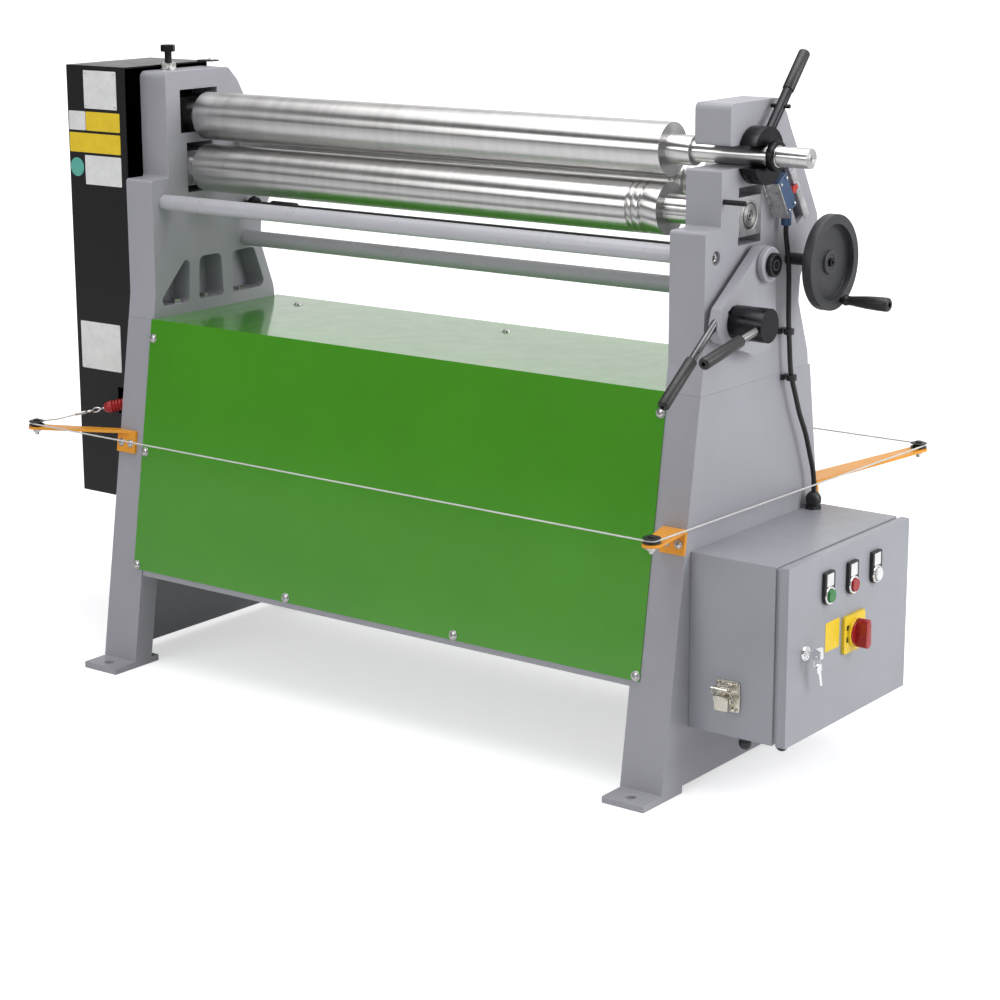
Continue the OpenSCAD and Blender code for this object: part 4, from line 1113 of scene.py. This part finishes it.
def wrap(pulley, first, last, steps):
    """Rope round a pulley while its heading turns from first to last degrees."""
    return [
        Vector((
            pulley[0] + ROPE_R * math.sin(math.radians(heading)),
            pulley[1] - ROPE_R * math.cos(math.radians(heading)), ROPE_Z
        ))
        for heading in (first + (last - first) * k / steps for k in range(steps + 1))
    ]


def strand_rope(shape, points, step=2.6, strands=6, lay=22.0):
    """Laid rope: its section turns along the run so that the strands show."""
    def strand(i, a):
        turn = 2 * math.pi * i * step / lay
        return ROPE_D / 2 * (0.93 + 0.07 * math.cos(strands * (a - turn)))

    shape.sweep(resample(points, step), strand, 18)


def trip_rope():
    """The rope from the pull switch round the three pulleys to the left rear post."""
    route = [SWITCH_ROOT + ROPE_PULL * START_SHARE, SWITCH_ROOT + ROPE_PULL * 0.8 - Z * 2]
    route += wrap(PULLEY_LEFT, 218, 360, 16)
    route += wrap(PULLEY_RIGHT, 0, 87, 12)
    route += wrap(PULLEY_BACK, 87, 180, 12)
    route.append(ROPE_END)
    shape = Shape()
    strand_rope(shape, route)
    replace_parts(shape.done("laid_rope", "rope_cover", "frame", smooth=80), "trip_rope")


def pull_switch():
    """Red pull switch in the drive cover, with its eye, link, thimble and crimped rope end."""
    place = at(SWITCH_ROOT, ROPE_PULL)
    nose = ROPE_PULL.length * NOSE_SHARE
    end = ROPE_PULL.length * START_SHARE
    shape = Shape()
    shape.box((-HEAD_OUT - 26, SWITCH_ROOT.y + 16, SWITCH_ROOT.z - 20),
              (-HEAD_OUT - 0.5, SWITCH_ROOT.y + 56, SWITCH_ROOT.z + 20), edge=2.0)
    ribs = [(-14, 11.8), (4, 12)]
    for k in range(4):
        ribs += [(6 + 6 * k, 10.2), (8 + 6 * k, 12), (10 + 6 * k, 12)]
    shape.lathe([*ribs, (nose - 10, 11.4), (nose - 4, 9.6), (nose - 1, 7.4), (nose, 5.0)], place, 40)
    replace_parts(shape.done("pull_switch", "red_plastic", "frame"), "rope_switch")
    shape.lathe([(nose - 2, 2.2), (nose + 3, 2.2)], place, 16)
    eye = [(4.5 * math.sin(a), 0, nose + 7 - 4.5 * math.cos(a)) for a in turn_of(24, 1)]
    link = [(0, 4.0 * math.sin(a), nose + 16 - 8 * math.cos(a)) for a in turn_of(24, 1)]
    thimble = [(5.0 * math.sin(a) * (1 - 0.4 * max(0.0, -math.cos(a))), 0,
                nose + 29 - 7.5 * math.cos(a)) for a in turn_of(28, 1)]
    for loop, wire in ((eye, 1.3), (link, 1.3), (thimble, 1.6)):
        shape.sweep([place @ Vector(point) for point in loop], wire, 10)
    shape.lathe([(end - 6, 2.2), (end - 5, 3.2), (end + 15, 3.2), (end + 16, 2.2)], place, 20)
    shape.lathe([(0, 2.2), (1, 3.2), (22, 3.2), (23, 2.2)], at(ROPE_END + X * 14, X, Z), 20)
    shape.done("rope_fittings", "zinc", "frame")
    loop = [ROPE_END + Vector((-POST_R - 7.0 * math.cos(a), 7.0 * math.sin(a), 0))
            for a in (math.radians(-150 + 300 * k / 20) for k in range(21))]
    shape.sweep([ROPE_END + X * 16 - Y * 1.6, *loop, ROPE_END + X * 16 + Y * 1.6], 1.4, 10)
    shape.done("rope_eye", "rope_cover", "frame")


def pulleys():
    rubber, metal_parts = Shape(), Shape()
    for x, y in (PULLEY_LEFT, PULLEY_RIGHT, PULLEY_BACK):
        place = at((x, y, ROPE_Z), Z, X)
        half = ROPE_D / 2 + 2.8
        rubber.lathe([
            (-half, PULLEY_D / 2 - 1), (-half + 0.5, PULLEY_D / 2), (-half + 1.6, PULLEY_D / 2),
            (-1.4, GROOVE_R + 1.0), (0, GROOVE_R), (1.4, GROOVE_R + 1.0),
            (half - 1.6, PULLEY_D / 2), (half - 0.5, PULLEY_D / 2), (half, PULLEY_D / 2 - 1),
            (half, 8.0), (half - 0.8, 7.4)
        ], place, 48)
        rubber.lathe([(-ROPE_D - 2.9, 6), (-half + 0.5, 6)], place, 24)
        rubber.lathe([(half - 1.0, 6.4), (half + 2.6, 6.0), (half + 3.4, 4.6)], place, 32)
        hex_head(metal_parts, at((x, y, STRAP_TOP - 5), -Z, X), 13, 6.5)
        metal_parts.lathe([(0, 4), (11, 4), (12, 3.2)], at((x, y, STRAP_TOP - 5), -Z, X), 20)
    x, y = POST_BACK_LEFT
    metal_parts.lathe([
        (STRAP_TOP - 16, 4.5), (STRAP_TOP - 5, 5), (ROPE_Z + 4, 5), (ROPE_Z + 5, 8), (ROPE_Z + 8.5, 8),
        (ROPE_Z + 9.5, 7)
    ], at((x, y + ROPE_R, 0), Z, X), 32)
    hex_head(metal_parts, at((x, y + ROPE_R, STRAP_TOP - 5), -Z, X), 13, 6.5)
    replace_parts(rubber.done("pulleys", "black_plastic", "frame"), "rope_pulleys")
    metal_parts.done("pulley_bolts", "zinc", "frame")


def bracket_screws():
    """Two screws through each bracket's plate, front and rear."""
    shape = Shape()
    z = STRAP_TOP - 24
    for middle in (23 - HEAD_OUT, HEAD_OUT - 23):
        for s in (-1, 1):
            place = at(Vector((middle + s * 12, -face_y(z) - 6, z)), FRONT_OUT, SLOPE_UP)
            pan_screw(shape, place, 5.6, 7.6, 3.2, turn=0.5 + s)
            pan_screw(shape, Matrix.Scale(-1, 4, Y) @ place, 5.6, 7.6, 3.2, turn=0.8 + s)
    shape.done("bracket_screws", "zinc", "frame")


trip_rope()
pull_switch()
pulleys()
bracket_screws()


# ---- cross shaft fittings under the rear roll ----

def cross_shaft_fittings():
    """Set collars and their screws on the handwheel's cross shaft."""
    y, z = WHEEL_AXIS
    shape = Shape()
    for x in (-HEAD_IN + 22, HEAD_IN - 22):
        collar = [(-7, 14.5), (-6, 15.5), (6, 15.5), (7, 14.5), (7, 8.6), (-7, 8.6)]
        shape.tube(collar, at((x, y, z), X, Z), 40)
        socket_screw(shape, at((x, y, z + 14.5), Z, X), 3.4, 3.0, 3)
    shape.done("cross_shaft_collars", "black_steel", "handwheel")


cross_shaft_fittings()
